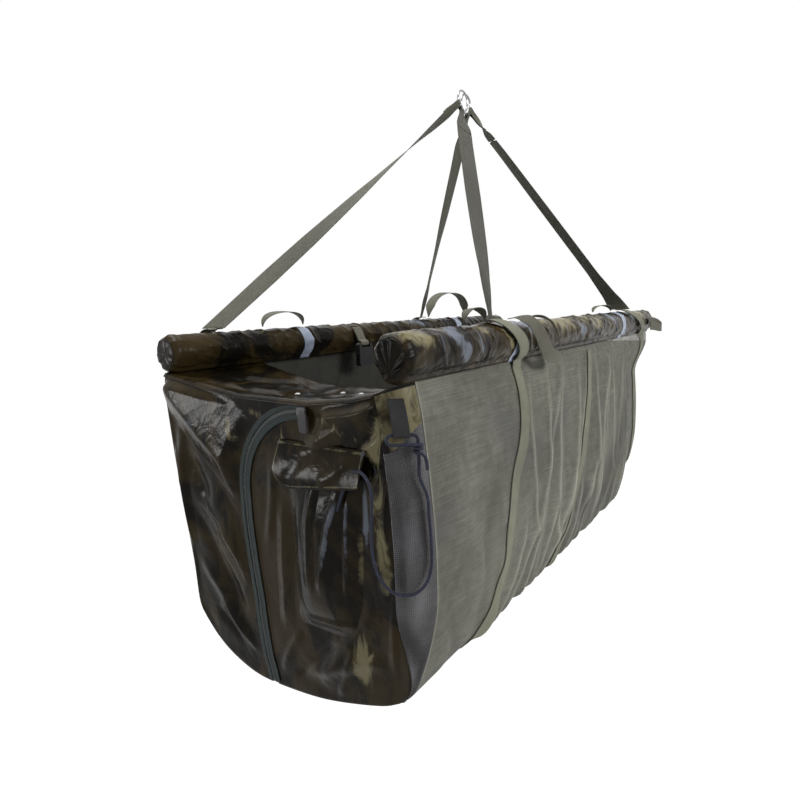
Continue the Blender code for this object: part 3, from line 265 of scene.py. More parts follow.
class Tree:
    """Places and joins nodes in one shader tree."""

    def __init__(self, tree):
        self.tree = tree

    def add(self, kind, settings=None, **sockets):
        """A node of one kind; a socket's value is a number, a colour or another node's output."""
        node = self.tree.nodes.new(kind)
        for key, value in (settings or {}).items():
            setattr(node, key, value)
        for key, value in sockets.items():
            index = int(key[1:]) if key[0] == "i" and key[1:].isdigit() else key.replace("_", " ")
            socket = node.inputs[index]
            if isinstance(value, bpy.types.NodeSocket):
                self.tree.links.new(value, socket)
            elif isinstance(value, tuple) and len(value) == 3 and socket.type == "RGBA":
                socket.default_value = (*value, 1.0)
            else:
                socket.default_value = value
        return node

    def maths(self, operation, a, b=0.0):
        """One sum or function of two numbers."""
        return self.add("ShaderNodeMath", {"operation": operation}, i0=a, i1=b).outputs[0]

    def mix(self, factor, a, b):
        """The colour between two others."""
        return self.add("ShaderNodeMix", {"data_type": "RGBA"}, i0=factor, i6=a, i7=b).outputs[2]

    def ramp(self, value, low, high, to_low=0.0, to_high=1.0):
        """A smooth step of a value from low to high."""
        node = self.add("ShaderNodeMapRange", {"interpolation_type": "SMOOTHSTEP"}, i0=value, i1=low, i2=high,
                        i3=to_low, i4=to_high)
        return node.outputs[0]

    def noise(self, vector, scale, detail=3.0, rough=0.5, distort=0.0):
        """Smooth noise, mostly between 0.3 and 0.7."""
        node = self.add("ShaderNodeTexNoise", None, Vector=vector, Scale=scale, Detail=detail,
                        Roughness=rough, Distortion=distort)
        return node.outputs[0]

    def stretch(self, vector, scale, turn=(0.0, 0.0, 0.0)):
        """A vector scaled and turned."""
        return self.add("ShaderNodeMapping", None, Vector=vector, Scale=scale, Rotation=turn).outputs[0]

    def coordinates(self, which="Object"):
        """The shaded point's own place, or its UV."""
        return self.add("ShaderNodeTexCoord").outputs[which]


def group(name, inputs, outputs, fill):
    """A shared effect: a node group with named sockets, filled by a function."""
    tree = bpy.data.node_groups.new(name, "ShaderNodeTree")
    for label, kind, value in inputs:
        socket = tree.interface.new_socket(name=label, in_out="INPUT", socket_type=kind)
        if value is not None:
            socket.default_value = value
    for label, kind in outputs:
        tree.interface.new_socket(name=label, in_out="OUTPUT", socket_type=kind)
    start = tree.nodes.new("NodeGroupInput")
    end = tree.nodes.new("NodeGroupOutput")
    for label, result in fill(Tree(tree), start.outputs).items():
        tree.links.new(result, end.inputs[label])
    return tree


def fill_weave(t, given):
    """Two crossed sets of threads: height is the larger |cos| of the two, with a hole where both are low."""
    parts = t.add("ShaderNodeSeparateXYZ", None, Vector=given["Vector"])
    rate = t.maths("DIVIDE", math.pi, given["Pitch"])
    along = t.maths("ABSOLUTE", t.maths("COSINE", t.maths("MULTIPLY", parts.outputs[0], rate)))
    across = t.maths("ABSOLUTE", t.maths("COSINE", t.maths("MULTIPLY", parts.outputs[1], rate)))
    height = t.maths("MAXIMUM", along, across)
    return {"Height": height, "Hole": t.ramp(height, 0.84, 0.72)}


def fill_crinkle(t, given):
    """Small creases of coated cloth: a soft swell, and crests where a twisted noise crosses its middle."""
    swell = t.noise(given["Vector"], 26.0, 2.0, 0.5, 0.6)
    fine = t.noise(given["Vector"], 60.0, 2.0, 0.5, 1.0)
    fine = t.maths("ABSOLUTE", t.maths("SUBTRACT", fine, 0.5))
    return {"Height": t.maths("SUBTRACT", swell, t.maths("MULTIPLY", fine, 0.55))}


def fill_ribs(t, given):
    """Woven webbing: fine ribs across, a faint herringbone, and a firmer line near both edges."""
    parts = t.add("ShaderNodeSeparateXYZ", None, Vector=given["Vector"])
    length, width = parts.outputs[0], parts.outputs[1]
    rib = t.maths("SINE", t.maths("MULTIPLY", length, 2 * math.pi / 0.0017))
    zig = t.maths("PINGPONG", width, 0.0024)
    slant = t.maths("SINE", t.maths("MULTIPLY", t.maths("ADD", length, zig), 2 * math.pi / 0.0011))
    edge = t.ramp(t.maths("ABSOLUTE", width), given["Half"], t.maths("SUBTRACT", given["Half"], 0.0022))
    height = t.maths("ADD", t.maths("MULTIPLY", rib, 0.5), t.maths("MULTIPLY", slant, 0.35))
    return {"Height": height, "Edge": t.maths("SUBTRACT", 1.0, edge)}


def fill_grime(t, given):
    """Uneven fading: broad and fine noise together, between 0 and 1."""
    broad = t.noise(given["Vector"], 4.0, 4.0, 0.6)
    fine = t.noise(given["Vector"], 60.0, 3.0, 0.6)
    return {"Amount": t.maths("ADD", t.maths("MULTIPLY", broad, 0.7), t.maths("MULTIPLY", fine, 0.3))}


VECTOR, FLOAT = "NodeSocketVector", "NodeSocketFloat"
WEAVE = group("crossed threads", [("Vector", VECTOR, None), ("Pitch", FLOAT, 0.001)],
              [("Height", FLOAT), ("Hole", FLOAT)], fill_weave)
CRINKLE = group("coated cloth creases", [("Vector", VECTOR, None)], [("Height", FLOAT)], fill_crinkle)
RIBS = group("webbing ribs", [("Vector", VECTOR, None), ("Half", FLOAT, 0.019)],
             [("Height", FLOAT), ("Edge", FLOAT)], fill_ribs)
GRIME = group("uneven fading", [("Vector", VECTOR, None)], [("Amount", FLOAT)], fill_grime)


def new_finish(name):
    """A new material: its tree and its Principled shader."""
    material = bpy.data.materials.new(name)
    material.use_nodes = True
    return material, Tree(material.node_tree), material.node_tree.nodes["Principled BSDF"]


def shared(t, which, **sockets):
    """The outputs of a shared effect."""
    return t.add("ShaderNodeGroup", {"node_tree": which}, **sockets).outputs


def bump(t, shader, height, distance):
    """A fine relief in metres on a shader."""
    node = t.add("ShaderNodeBump", None, Height=height, Distance=distance, Strength=1.0)
    t.tree.links.new(node.outputs[0], shader.inputs["Normal"])


def wire(t, output, shader, socket):
    """Joins an output to one of a shader's sockets."""
    t.tree.links.new(output, shader.inputs[socket])


def point_masks(t):
    """The two masks that marks() keeps on the points."""
    kept = t.add("ShaderNodeAttribute", {"attribute_name": "marks"}).outputs["Color"]
    return t.add("ShaderNodeSeparateColor", None, Color=kept).outputs


def scaled(colour, share, more=0.0):
    """A colour times a share, plus a little of white."""
    return tuple(c * share + more for c in colour)


def coated_cloth(name, shade=1.0):
    """Shiny coated cloth: olive-brown with near-black clouds, and straw or blue-grey where marked; a shade
    below 1 darkens the whole colour as painted shade.
    """
    material, t, shader = new_finish(name)
    place = t.coordinates()
    masks = point_masks(t)
    cloud = t.noise(t.stretch(place, (2.2, 3.4, 1.5), (0.5, 0.2, 0.7)), 3.0, 4.0, 0.6, 1.2)
    fleck = t.noise(t.stretch(place, (5.0, 7.5, 3.0), (0.2, 0.6, 0.1)), 4.5, 4.0, 0.62, 1.4)
    smear = t.noise(t.stretch(place, (6.5, 3.0, 2.4), (0.9, 0.1, 0.4)), 4.0, 4.0, 0.6, 1.6)
    straw = t.ramp(t.maths("ADD", fleck, t.maths("MULTIPLY", masks[0], 0.42)), 0.68, 0.90)
    # Blue-grey: print on the tubes, painted highlight streaks where marked on the near panels and pocket.
    blue = t.ramp(t.maths("ADD", smear, t.maths("MULTIPLY", masks[1], 0.42)), 0.70, 0.88)
    colour = t.mix(t.ramp(cloud, 0.42, 0.58), scaled(BROWN, shade), scaled(NEAR_BLACK, shade))
    colour = t.mix(straw, colour, scaled(STRAW, shade))
    colour = t.mix(blue, colour, scaled(BLUE_GREY, shade))
    weave = shared(t, WEAVE, Vector=t.coordinates("UV"), Pitch=0.0006)
    colour = t.mix(t.maths("MULTIPLY", weave["Hole"], 0.25), colour, (0.008, 0.007, 0.005))
    wire(t, colour, shader, "Base Color")
    grime = shared(t, GRIME, Vector=place)["Amount"]
    wire(t, t.ramp(grime, 0.3, 0.7, 0.16, 0.30), shader, "Roughness")
    shader.inputs["Specular IOR Level"].default_value = 0.08
    crease = shared(t, CRINKLE, Vector=place)["Height"]
    bump(t, shader, crease, 0.0011)
    return material


def netting(name, colour, pitch=0.0025, clear=0.90):
    """Fine see-through net, a little uneven; marked folds get a closer weave and a lighter colour as painted
    highlight, marked shade a darker colour as painted shade.
    """
    material, t, shader = new_finish(name)
    uv = t.coordinates("UV")
    masks = point_masks(t)
    weave = shared(t, WEAVE, Vector=uv, Pitch=pitch)
    grime = shared(t, GRIME, Vector=t.coordinates())["Amount"]
    tone = t.mix(t.ramp(grime, 0.35, 0.65), scaled(colour, 0.78), scaled(colour, 1.35, 0.01))
    rows = t.noise(t.stretch(uv, (420.0, 12.0, 1.0)), 1.0, 2.0)
    tone = t.mix(t.ramp(rows, 0.40, 0.64), t.mix(0.22, tone, (0.02, 0.02, 0.016)), tone)
    lilac = t.ramp(t.noise(t.coordinates(), 5.0, 3.0, 0.5, 0.5), 0.50, 0.68)
    tone = t.mix(t.maths("MULTIPLY", lilac, 0.35), tone, LILAC)
    # First mask: painted highlight; second mask: painted shade; both close the weave.
    tone = t.mix(t.maths("MULTIPLY", masks[0], 0.75), tone, scaled(colour, 2.3, 0.03))
    tone = t.mix(t.maths("MULTIPLY", masks[1], 0.80), tone, scaled(colour, 0.22))
    wire(t, tone, shader, "Base Color")
    marked = t.maths("MAXIMUM", masks[0], masks[1])
    close = t.maths("SUBTRACT", clear, t.maths("MULTIPLY", marked, clear * 0.9))
    wire(t, t.maths("SUBTRACT", 1.0, t.maths("MULTIPLY", weave["Hole"], close)), shader, "Alpha")
    shader.inputs["Roughness"].default_value = 0.62
    shader.inputs["Specular IOR Level"].default_value = 0.25
    bump(t, shader, weave["Height"], 0.0004)
    return material


def box_stitch(t, uv, half):
    """A sewn box with a cross in it: dashed lines along both sides, both ends and the two diagonals."""
    middle, reach = 0.0265, 0.0155
    parts = t.add("ShaderNodeSeparateXYZ", None, Vector=uv)
    length, width = parts.outputs[0], parts.outputs[1]
    inside = t.maths("MULTIPLY", t.ramp(length, 0.0105, 0.0110), t.ramp(length, 0.0425, 0.0420))
    from_middle = t.maths("ABSOLUTE", t.maths("SUBTRACT", length, middle))
    from_centre = t.maths("ABSOLUTE", width)
    sides = t.maths("ABSOLUTE", t.maths("SUBTRACT", from_centre, half))
    diagonal = t.maths("MULTIPLY", from_middle, half / reach)
    crossed = t.maths("ABSOLUTE", t.maths("SUBTRACT", from_centre, diagonal))
    ends = t.maths("ABSOLUTE", t.maths("SUBTRACT", from_middle, reach - 0.0005))
    line = t.maths("MAXIMUM", t.ramp(sides, 0.0009, 0.0005), t.ramp(crossed, 0.0009, 0.0005))
    line = t.maths("MAXIMUM", line, t.ramp(ends, 0.0008, 0.0004))
    along = t.maths("MULTIPLY", t.maths("ADD", length, width), 2 * math.pi / 0.0032)
    dash = t.ramp(t.maths("SINE", along), -0.6, 0.0)
    return t.maths("MULTIPLY", t.maths("MULTIPLY", line, dash), inside)


def webbing(name, colour, half, edge_shade=0.75, stitched=False):
    """Ribbed woven strap with firmer edges, fading and, where asked, a stitched box near its loop."""
    material, t, shader = new_finish(name)
    uv = t.coordinates("UV")
    ribs = shared(t, RIBS, Vector=uv, Half=half)
    grime = shared(t, GRIME, Vector=t.coordinates())["Amount"]
    tone = t.mix(t.ramp(grime, 0.35, 0.65), scaled(colour, 0.80), scaled(colour, 1.22))
    tone = t.mix(t.maths("MULTIPLY", ribs["Edge"], 0.6), tone, scaled(colour, edge_shade))
    valley = t.ramp(ribs["Height"], -0.2, -0.8)
    tone = t.mix(t.maths("MULTIPLY", valley, 0.45), tone, scaled(colour, 0.45))
    height = ribs["Height"]
    if stitched:
        seam = box_stitch(t, uv, half * 0.80)
        tone = t.mix(seam, tone, scaled(colour, 1.9, 0.02))
        height = t.maths("ADD", height, t.maths("MULTIPLY", seam, 1.5))
    wire(t, tone, shader, "Base Color")
    shader.inputs["Roughness"].default_value = 0.68
    shader.inputs["Specular IOR Level"].default_value = 0.25
    shader.inputs["Sheen Weight"].default_value = 0.10
    bump(t, shader, height, 0.00022)
    return material


def pale_tape():
    """Pale reflective tape, creased, with a fine grid of beads."""
    material, t, shader = new_finish("pale reflective tape")
    place = t.coordinates()
    weave = shared(t, WEAVE, Vector=t.coordinates("UV"), Pitch=0.0012)
    grime = shared(t, GRIME, Vector=place)["Amount"]
    tone = t.mix(t.ramp(grime, 0.40, 0.62), (0.44, 0.49, 0.60), (0.28, 0.33, 0.43))
    tone = t.mix(t.maths("MULTIPLY", weave["Hole"], 0.25), tone, (0.30, 0.34, 0.44))
    wire(t, tone, shader, "Base Color")
    shader.inputs["Roughness"].default_value = 0.34
    bump(t, shader, shared(t, CRINKLE, Vector=place)["Height"], 0.0012)
    return material


def braid(name, colour):
    """Braided cord: two opposed sets of slanting strands, every few a lighter fleck."""
    material, t, shader = new_finish(name)
    parts = t.add("ShaderNodeSeparateXYZ", None, Vector=t.coordinates("UV"))
    length, girth = parts.outputs[0], parts.outputs[1]
    down = t.maths("MULTIPLY", length, 2 * math.pi / 0.0036)
    about = t.maths("MULTIPLY", girth, 2 * math.pi / 0.00314)
    left = t.maths("SINE", t.maths("ADD", down, about))
    right = t.maths("SINE", t.maths("SUBTRACT", down, about))
    height = t.maths("MAXIMUM", left, right)
    fleck = t.ramp(t.noise(t.stretch(t.coordinates(), (90.0, 90.0, 90.0)), 3.0, 2.0), 0.60, 0.66)
    tone = t.mix(t.ramp(height, -0.2, 0.8), scaled(colour, 0.4), colour)
    tone = t.mix(t.maths("MULTIPLY", fleck, 0.4), tone, scaled(colour, 2.4, 0.02))
    wire(t, tone, shader, "Base Color")
    shader.inputs["Roughness"].default_value = 0.55
    shader.inputs["Specular IOR Level"].default_value = 0.25
    bump(t, shader, height, 0.0003)
    return material


def moulded(name, colour, rough=0.42):
    """Moulded plastic with a fine spark-eroded grain and rubbed high spots."""
    material, t, shader = new_finish(name)
    place = t.coordinates()
    grain = t.noise(place, 900.0, 2.0, 0.6)
    rub = t.ramp(t.noise(place, 45.0, 4.0, 0.65), 0.55, 0.72)
    tone = t.mix(t.maths("MULTIPLY", rub, 0.5), colour, scaled(colour, 1.9, 0.01))
    wire(t, tone, shader, "Base Color")
    wire(t, t.ramp(rub, 0.0, 1.0, rough, rough * 0.7), shader, "Roughness")
    bump(t, shader, grain, 0.00012)
    return material


def bright_steel():
    """Polished wire with faint drawing lines and small rubs."""
    material, t, shader = new_finish("polished steel wire")
    place = t.coordinates()
    lines = t.noise(t.stretch(place, (400.0, 2600.0, 400.0)), 1.0, 2.0)
    rub = t.ramp(t.noise(place, 180.0, 4.0, 0.6), 0.5, 0.75)
    shader.inputs["Metallic"].default_value = 1.0
    tone = t.mix(t.maths("MULTIPLY", rub, 0.4), (0.36, 0.36, 0.37), (0.20, 0.20, 0.20))
    wire(t, tone, shader, "Base Color")
    wire(t, t.ramp(rub, 0.0, 1.0, 0.12, 0.28), shader, "Roughness")
    bump(t, shader, lines, 0.00003)
    return material


def foam():
    """Closed-cell foam, its cells showing as small dents."""
    material, t, shader = new_finish("closed-cell foam")
    cells = t.add("ShaderNodeTexVoronoi", None, Vector=t.coordinates(), Scale=420.0).outputs["Distance"]
    wire(t, t.mix(t.ramp(cells, 0.1, 0.6), (0.70, 0.70, 0.67), (0.55, 0.55, 0.52)), shader, "Base Color")
    shader.inputs["Roughness"].default_value = 0.85
    bump(t, shader, cells, 0.0004)
    return material


CAMO = coated_cloth("coated smudged cloth")
# A darker copy of the coated cloth, as painted shade, for the hood, pocket and flap.
CAMO_SHADED = coated_cloth("coated smudged cloth, painted shade", 0.75)
# A much darker copy of the coated cloth, as painted shade, for the gathered tube ends.
CAMO_GATHERED_SHADED = coated_cloth("coated smudged cloth, gathered, painted shade", 0.30)
NET = netting("grey-olive net", (0.215, 0.213, 0.176))
NET_REAR = netting("shaded net", (0.115, 0.113, 0.092), 0.0025, 0.75)
NET_FLOOR = netting("lilac-grey net", (0.120, 0.115, 0.135), 0.0026, 0.75)
NET_DARK = netting("dark grey net", (0.105, 0.102, 0.106), 0.0026, 0.75)
WEB = webbing("light olive webbing", (0.230, 0.230, 0.168), WEB_HALF, 0.30)
STRAP = webbing("olive-grey webbing", (0.105, 0.102, 0.078), STRAP_HALF, 0.80, True)
STRAP_SHADE = webbing("shaded olive-grey webbing", (0.063, 0.061, 0.047), STRAP_HALF, 0.80, True)
HANDLE = webbing("olive-grey handle webbing", (0.125, 0.120, 0.090), 0.014, 0.80)
DARK_WEB = webbing("near-black webbing", (0.020, 0.020, 0.020), 0.010, 0.70)
ZIP_TAPE = webbing("teal-grey zip tape", (0.022, 0.036, 0.035), 0.0060, 0.45)
PULL = webbing("grey-lilac tape", (0.090, 0.088, 0.098), 0.0065, 0.80)
TAPE = pale_tape()
CORD = braid("navy-black braided cord", (0.022, 0.025, 0.048))
STEEL = bright_steel()
PLASTIC = moulded("near-black moulded plastic", (0.016, 0.016, 0.018))
TEETH = moulded("teal-grey moulded teeth", (0.022, 0.032, 0.031), 0.34)
WHITE = moulded("white moulded studs", (0.80, 0.80, 0.78), 0.40)
FOAM = foam()


# The bag's far end: where the section starts to change, how far it narrows, lifts and draws in
END_FROM, NARROWER, LIFT, DRAWN_IN = 0.22, 0.17, 0.032, 0.045
SECTION_TOP, SECTION_DEEP, SECTION_MID = -0.522, 0.465, -0.72

# The net's length down one side, and how far its folds are moved along on the rear
NET_DEEP, REAR_SHIFT = 0.42, 0.06

# The bag's section at its near end: (y, z) down the front, along the floor and up the rear
FRONT_PATH = smooth_path([(-0.2360, -0.5208), (-0.2440, -0.560), (-0.2510, -0.620), (-0.2570, -0.690),
                          (-0.2590, -0.750), (-0.2575, -0.820), (-0.2530, -0.870), (-0.2440, -0.905),
                          (-0.2270, -0.9250)], 200)
FLOOR_PATH = smooth_path([(-0.2280, -0.9246), (-0.188, -0.945), (-0.098, -0.972), (-0.020, -0.984),
                          (0.050, -0.987), (0.105, -0.974), (0.145, -0.953), (0.1752, -0.9262)], 200)
REAR_PATH = smooth_path([(0.1742, -0.9270), (0.189, -0.903), (0.1945, -0.835), (0.206, -0.757),
                         (0.217, -0.681), (0.2245, -0.610), (0.2285, -0.560), (0.2275, -0.5212)], 200)


def on_path(path, s):
    """Point of a (y, z) path at fraction s."""
    at = np.linspace(0, 1, len(path))
    return np.stack([np.interp(s, at, path[:, 0]), np.interp(s, at, path[:, 1])], axis=-1)


def front_y(z):
    """The front side's y at a height."""
    return np.interp(z, FRONT_PATH[::-1, 1], FRONT_PATH[::-1, 0])


def rear_y(z):
    """The rear side's y at a height."""
    return np.interp(z, REAR_PATH[:, 1], REAR_PATH[:, 0])


def floor_z(y):
    """The floor's height at a y."""
    return np.interp(y, FLOOR_PATH[:, 0], FLOOR_PATH[:, 1])


def section_depth(z):
    """How far down the section a height is: 0 at its top, 1 at its lowest."""
    return np.clip((SECTION_TOP - z) / SECTION_DEEP, 0, 1)


def bag_point(path, s, x):
    """The section's point, narrowed across and lifted towards the far end."""
    yz = on_path(path, s)
    x = np.broadcast_to(x, yz.shape[:-1])
    end = ease((x - END_FROM) / (BAG_FAR_X - END_FROM))
    depth = section_depth(yz[..., 1])
    y = yz[..., 0] * (1 - NARROWER * end * ease(depth / 0.25))
    z = yz[..., 1] + LIFT * end * depth**2
    return np.stack([x, y, z], axis=-1)


def bag_end(z):
    """The far edge of the cloth draws in at the bottom; z is a height of the plain section."""
    return BAG_FAR_X - DRAWN_IN * ease((-0.80 - z) / 0.17)


def plain_z(z):
    """The height of the plain section that stands at a height of the lifted far end."""
    return z - LIFT * section_depth(z) ** 2


def corner_r(z):
    """The near corner's radius, closing to almost nothing at the bottom."""
    return 0.002 + (CORNER_R - 0.002) * ease((z + 0.925) / 0.13)


# Folds of the hanging cloth: (x, s) to (x, s), height out, width
DROP = [(x, -0.05, x + lean, low, height, width) for x, lean, low, height, width in (
    (-0.215, -0.050, 0.75, 0.0030, 0.010), (-0.165, -0.090, 0.95, 0.0042, 0.013),
    (-0.110, -0.100, 0.80, 0.0034, 0.010), (-0.055, -0.130, 0.96, 0.0045, 0.014),
    (0.000, -0.120, 0.82, 0.0034, 0.011), (0.040, -0.130, 0.90, 0.0036, 0.010),
    (0.130, -0.090, 0.85, 0.0042, 0.012), (0.175, -0.110, 0.95, 0.0034, 0.010),
    (0.225, -0.130, 0.80, 0.0044, 0.014), (0.275, -0.140, 0.92, 0.0038, 0.011),
    (0.325, -0.130, 0.78, 0.0040, 0.013), (0.380, -0.150, 0.90, 0.0036, 0.011),
    (0.435, -0.120, 0.70, 0.0032, 0.012))]
GATHER = [(x, 0.60 + 0.04 * (k % 3), x - 0.110, 1.02, 0.0050 + 0.0010 * (k % 2), 0.009 + 0.002 * (k % 3))
          for k, x in enumerate(np.linspace(-0.345, 0.42, 17))]
BROAD = [(-0.50, 0.30, -0.43, 0.98, 0.006, 0.030), (-0.44, 0.05, -0.36, 0.60, 0.004, 0.026),
         (-0.37, 0.35, -0.46, 0.95, -0.005, 0.024), (-0.53, 0.55, -0.50, 1.0, -0.005, 0.020),
         (0.10, 0.30, -0.02, 0.90, -0.005, 0.026), (0.30, 0.30, 0.18, 0.90, -0.006, 0.030),
         (-0.16, 0.30, -0.24, 0.90, -0.005, 0.026), (0.46, 0.10, 0.40, 0.70, -0.006, 0.024)]


def fold_height(path, s, x):
    """How far the cloth stands out of its plain section, nothing at its sewn edges."""
    depth = s if path is FRONT_PATH else 1 - s
    if path is FLOOR_PATH:
        edge = ease(s / 0.10) * ease((1 - s) / 0.10)
        out = 0.0035 * ripple(x, s * NET_DEEP, 0.16, 1.3) + 0.0015 * ripple(x, s * NET_DEEP, 0.06, 2.1)
    else:
        edge = ease(depth / 0.05 + 0.25) * ease((1 - depth) / 0.05)
        shift, scale = (0.0, 1.0) if path is FRONT_PATH else (REAR_SHIFT, 0.8)
        out = scale * folds(x + shift, depth, DROP + GATHER + BROAD)
        out = out + 0.0014 * ripple(x, depth * NET_DEEP, 0.09, 1.9)
    sides = ease((x - NEAR_X - 0.040) / 0.05) * ease((bag_end(on_path(path, s)[..., 1]) - x) / 0.05)
    return out * edge * sides


def bag_surface(path, s, x, lift=0.0):
    """The folded cloth: section point plus normal times fold height and lift."""
    step = 0.004
    p = bag_point(path, s, x)
    down = bag_point(path, np.clip(s + step, 0, 1), x) - bag_point(path, np.clip(s - step, 0, 1), x)
    length = bag_point(path, s, x + 0.005) - bag_point(path, s, x - 0.005)
    n = unit(np.cross(down, length))
    n = n * np.sign(np.sum(n[..., 1:] * (p[..., 1:] - (0.0, SECTION_MID)), axis=-1, keepdims=True))
    return p + n * (fold_height(path, s, x) + lift)[..., None]


def net_masks(path, x, z, s, left):
    """Painted highlight on fold crests and the near hem; painted shade in hollows, beside gathers, towards the
    floor, on the rear net's top band and where dark cloth lies behind.
    """
    front = path is FRONT_PATH
    depth = s if front else 1 - s
    shift = 0.0 if front else REAR_SHIFT
    crest_lines = [(a, b, c, d, 0.55 + 90 * (e - 0.003), 0.0042) for a, b, c, d, e, _ in DROP + GATHER]
    hollow_lines = [(a, b, c, d, 0.8, f * 0.7) for a, b, c, d, e, f in BROAD if e < 0]
    beside_lines = [(a, b, c, d, 0.55, 0.007) for a, b, c, d, _, _ in GATHER]
    light = folds(x + shift, depth, crest_lines) * ease((depth - 0.02) / 0.3)
    light = light + 0.9 * np.exp(-((x - left) / 0.0022) ** 2)
    shade = 0.5 * folds(x + shift, depth, hollow_lines) + folds(x + shift - 0.011, depth, beside_lines)
    shade = shade + 0.35 * ease((depth - 0.86) / 0.14)
    if front:
        return light, shade + spots(x, z, [(0.27, -0.775, 0.21, 0.050, 30, 1.0)])
    band = ease((0.36 + 0.04 * ripple(x, depth, 0.12, 1.0) - depth) / 0.08)
    return light * (1 - band), shade + band


def bag_panel(name, node, path, near, rows, columns, finish):
    """A net panel along the bag, from its near edge to its far edge."""
    s = np.linspace(0, 1, rows)[:, None]
    z = on_path(path, s[:, 0])[:, 1][:, None]
    left, right = near(z), bag_end(z)
    x = left + (right - left) * np.linspace(0, 1, columns)[None, :]
    piece = cloth(name, bag_surface(path, s + 0 * x, x), finish, "sling", [node], 0.0007)
    if path is FLOOR_PATH:
        # On the floor net, a painted highlight where its fine ripple rises.
        marks(piece, 0.35 * np.clip(ripple(x, s * NET_DEEP, 0.06, 2.1), 0, 1))
    else:
        marks(piece, *net_masks(path, x, z, s, left))
    return piece


def past_corner(z):
    """The front net starts where the rounded corner ends."""
    return NEAR_X + corner_r(z) + 0.0011


def past_panels(z):
    """The floor and the rear net start just behind the near panels."""
    return NEAR_X + CLOTH / 2 + GAP + 0 * z


front_side = bag_panel("front_net_side", "front_mesh_side", FRONT_PATH, past_corner, 90, 330, NET)
floor = bag_panel("net_floor", "mesh_floor", FLOOR_PATH, past_panels, 64, 220, NET_FLOOR)
rear_side = bag_panel("rear_net_side", "rear_mesh_side", REAR_PATH, past_panels, 80, 300, NET_REAR)

# Near end: rounded net corner, hood, two coated panels and the zip between them
# Its top edge: y, and the height there
CREASE_Y = (-0.240, -0.200, -0.160, -0.083, 0.060, 0.228)
CREASE_Z = (-0.5205, -0.5325, -0.5410, -0.5490, -0.5460, -0.5205)

# How far the panels start under that edge, how far cloth lies over net, and how far the hood stands out past it
UNDER, OVER_NET, HOOD_OVER = 0.0040, 0.0011, 0.0026
CORNER_TOP, CORNER_LOW, WRAP_LOW = -0.532, -0.9210, -0.604
HOOD_FRONT_Z, HOOD_REAR_Z = -0.529, -0.540

# Light and shade on the corner net: (distance round the corner, z, half length, half width, turn, strength)
CORNER_LIGHT = [(0.030, -0.790, 0.035, 0.012, 80, 0.8), (0.050, -0.640, 0.10, 0.004, 90, 0.5),
                (0.022, -0.720, 0.040, 0.006, 80, 0.5), (0.012, -0.880, 0.02, 0.010, 40, 0.4)]
CORNER_SHADE = [(0.020, -0.845, 0.030, 0.012, 120, 1.0), (0.040, -0.700, 0.050, 0.006, 95, 0.7),
                (0.045, -0.870, 0.030, 0.010, 70, 0.8), (0.010, -0.740, 0.030, 0.005, 90, 0.7)]
HOOD_FOLDS = [(-0.585, -0.225, -0.52, 0.05, -0.0045, 0.010), (-0.580, -0.222, -0.45, -0.06, -0.0040, 0.009),
              (-0.575, -0.220, -0.42, -0.14, -0.0050, 0.009), (-0.565, -0.222, -0.40, -0.20, -0.0040, 0.008),
              (-0.590, 0.215, -0.53, 0.03, -0.0040, 0.012), (-0.570, 0.215, -0.44, 0.09, -0.0045, 0.012),
              (-0.540, 0.10, -0.47, 0.20, -0.0035, 0.010), (-0.48, -0.02, -0.41, 0.12, -0.0040, 0.014)]


def crease(y):
    """Height of the near end's top edge, sagging between the tubes."""
    return np.interp(y, CREASE_Y, CREASE_Z)


def corner_crease(a):
    """Height of the cloth's top round the corner, at angles from the near end to the front."""
    return crease(front_y(CORNER_TOP) + CORNER_R - CORNER_R * np.sin(a)) - UNDER


def corner_grid(a, z, out):
    """Points round the corner at angles and heights, a distance outside its own radius."""
    r = corner_r(z)
    return np.stack([NEAR_X + r - (r + out) * np.cos(a), front_y(z) + r - (r + out) * np.sin(a), z], -1)


def corner_net():
    """The net round the corner, slack between its edges; gives back its edge beside the panel."""
    a = np.radians(np.linspace(0, 90, 15))[None, :]
    top = corner_crease(a)
    z = top + (CORNER_LOW - top) * np.linspace(0, 1, 90)[:, None]
    slack = np.abs(0.0020 * ripple(a * 0.04, z, 0.05, 1.1) + 0.0030 * ripple(0 * a, z, 0.12, 2.7))
    slack = slack * np.sin(2 * a) ** 2 * ease((z + 0.92) / 0.05) * ease((-0.535 - z) / 0.03)
    grid = corner_grid(a, z, -slack)
    piece = cloth("near_corner_net", grid, NET_DARK, "sling", ["near_corner_gusset"])
    around = a * CORNER_R + 0 * z
    hem = ease((0.016 - around) / 0.004)
    # Along the hem: lighter where a ripple rises, darker between.
    hem_ripple = hem * (0.5 + 0.5 * ripple(around * 3, z, 0.09, 1.7))
    light = 0.7 * hem_ripple + spots(around, z, CORNER_LIGHT)
    shade = 0.8 * (hem - hem_ripple) + spots(around, z, CORNER_SHADE)
    marks(piece, light, shade)
    return grid[:, 0, 1:]


def corner_cloth():
    """The front panel's cloth, run on round the top of the net corner and rumpled there."""
    a = np.radians(np.linspace(0, 86, 44))[None, :]
    top = corner_crease(a)
    z = top + (WRAP_LOW + 0.034 * np.sin(a) ** 2 - top) * np.linspace(0, 1, 60)[:, None]
    rumple = 0.0030 * np.abs(crumple(a * CORNER_R * 1.6, z, 0.030, 3.1))
    rumple = rumple * ease((top - z) / 0.010) * np.sin(np.pi * a / a.max())
    uv = np.stack([a * CORNER_R + 0 * z, z], -1)
    grid = corner_grid(a, z, OVER_NET + rumple)
    piece = cloth("panel_corner_cloth", grid, CAMO, "sling", ["near_panel_front"], 0.0006, uv)
    marks(piece, 0.75 + 0 * z)


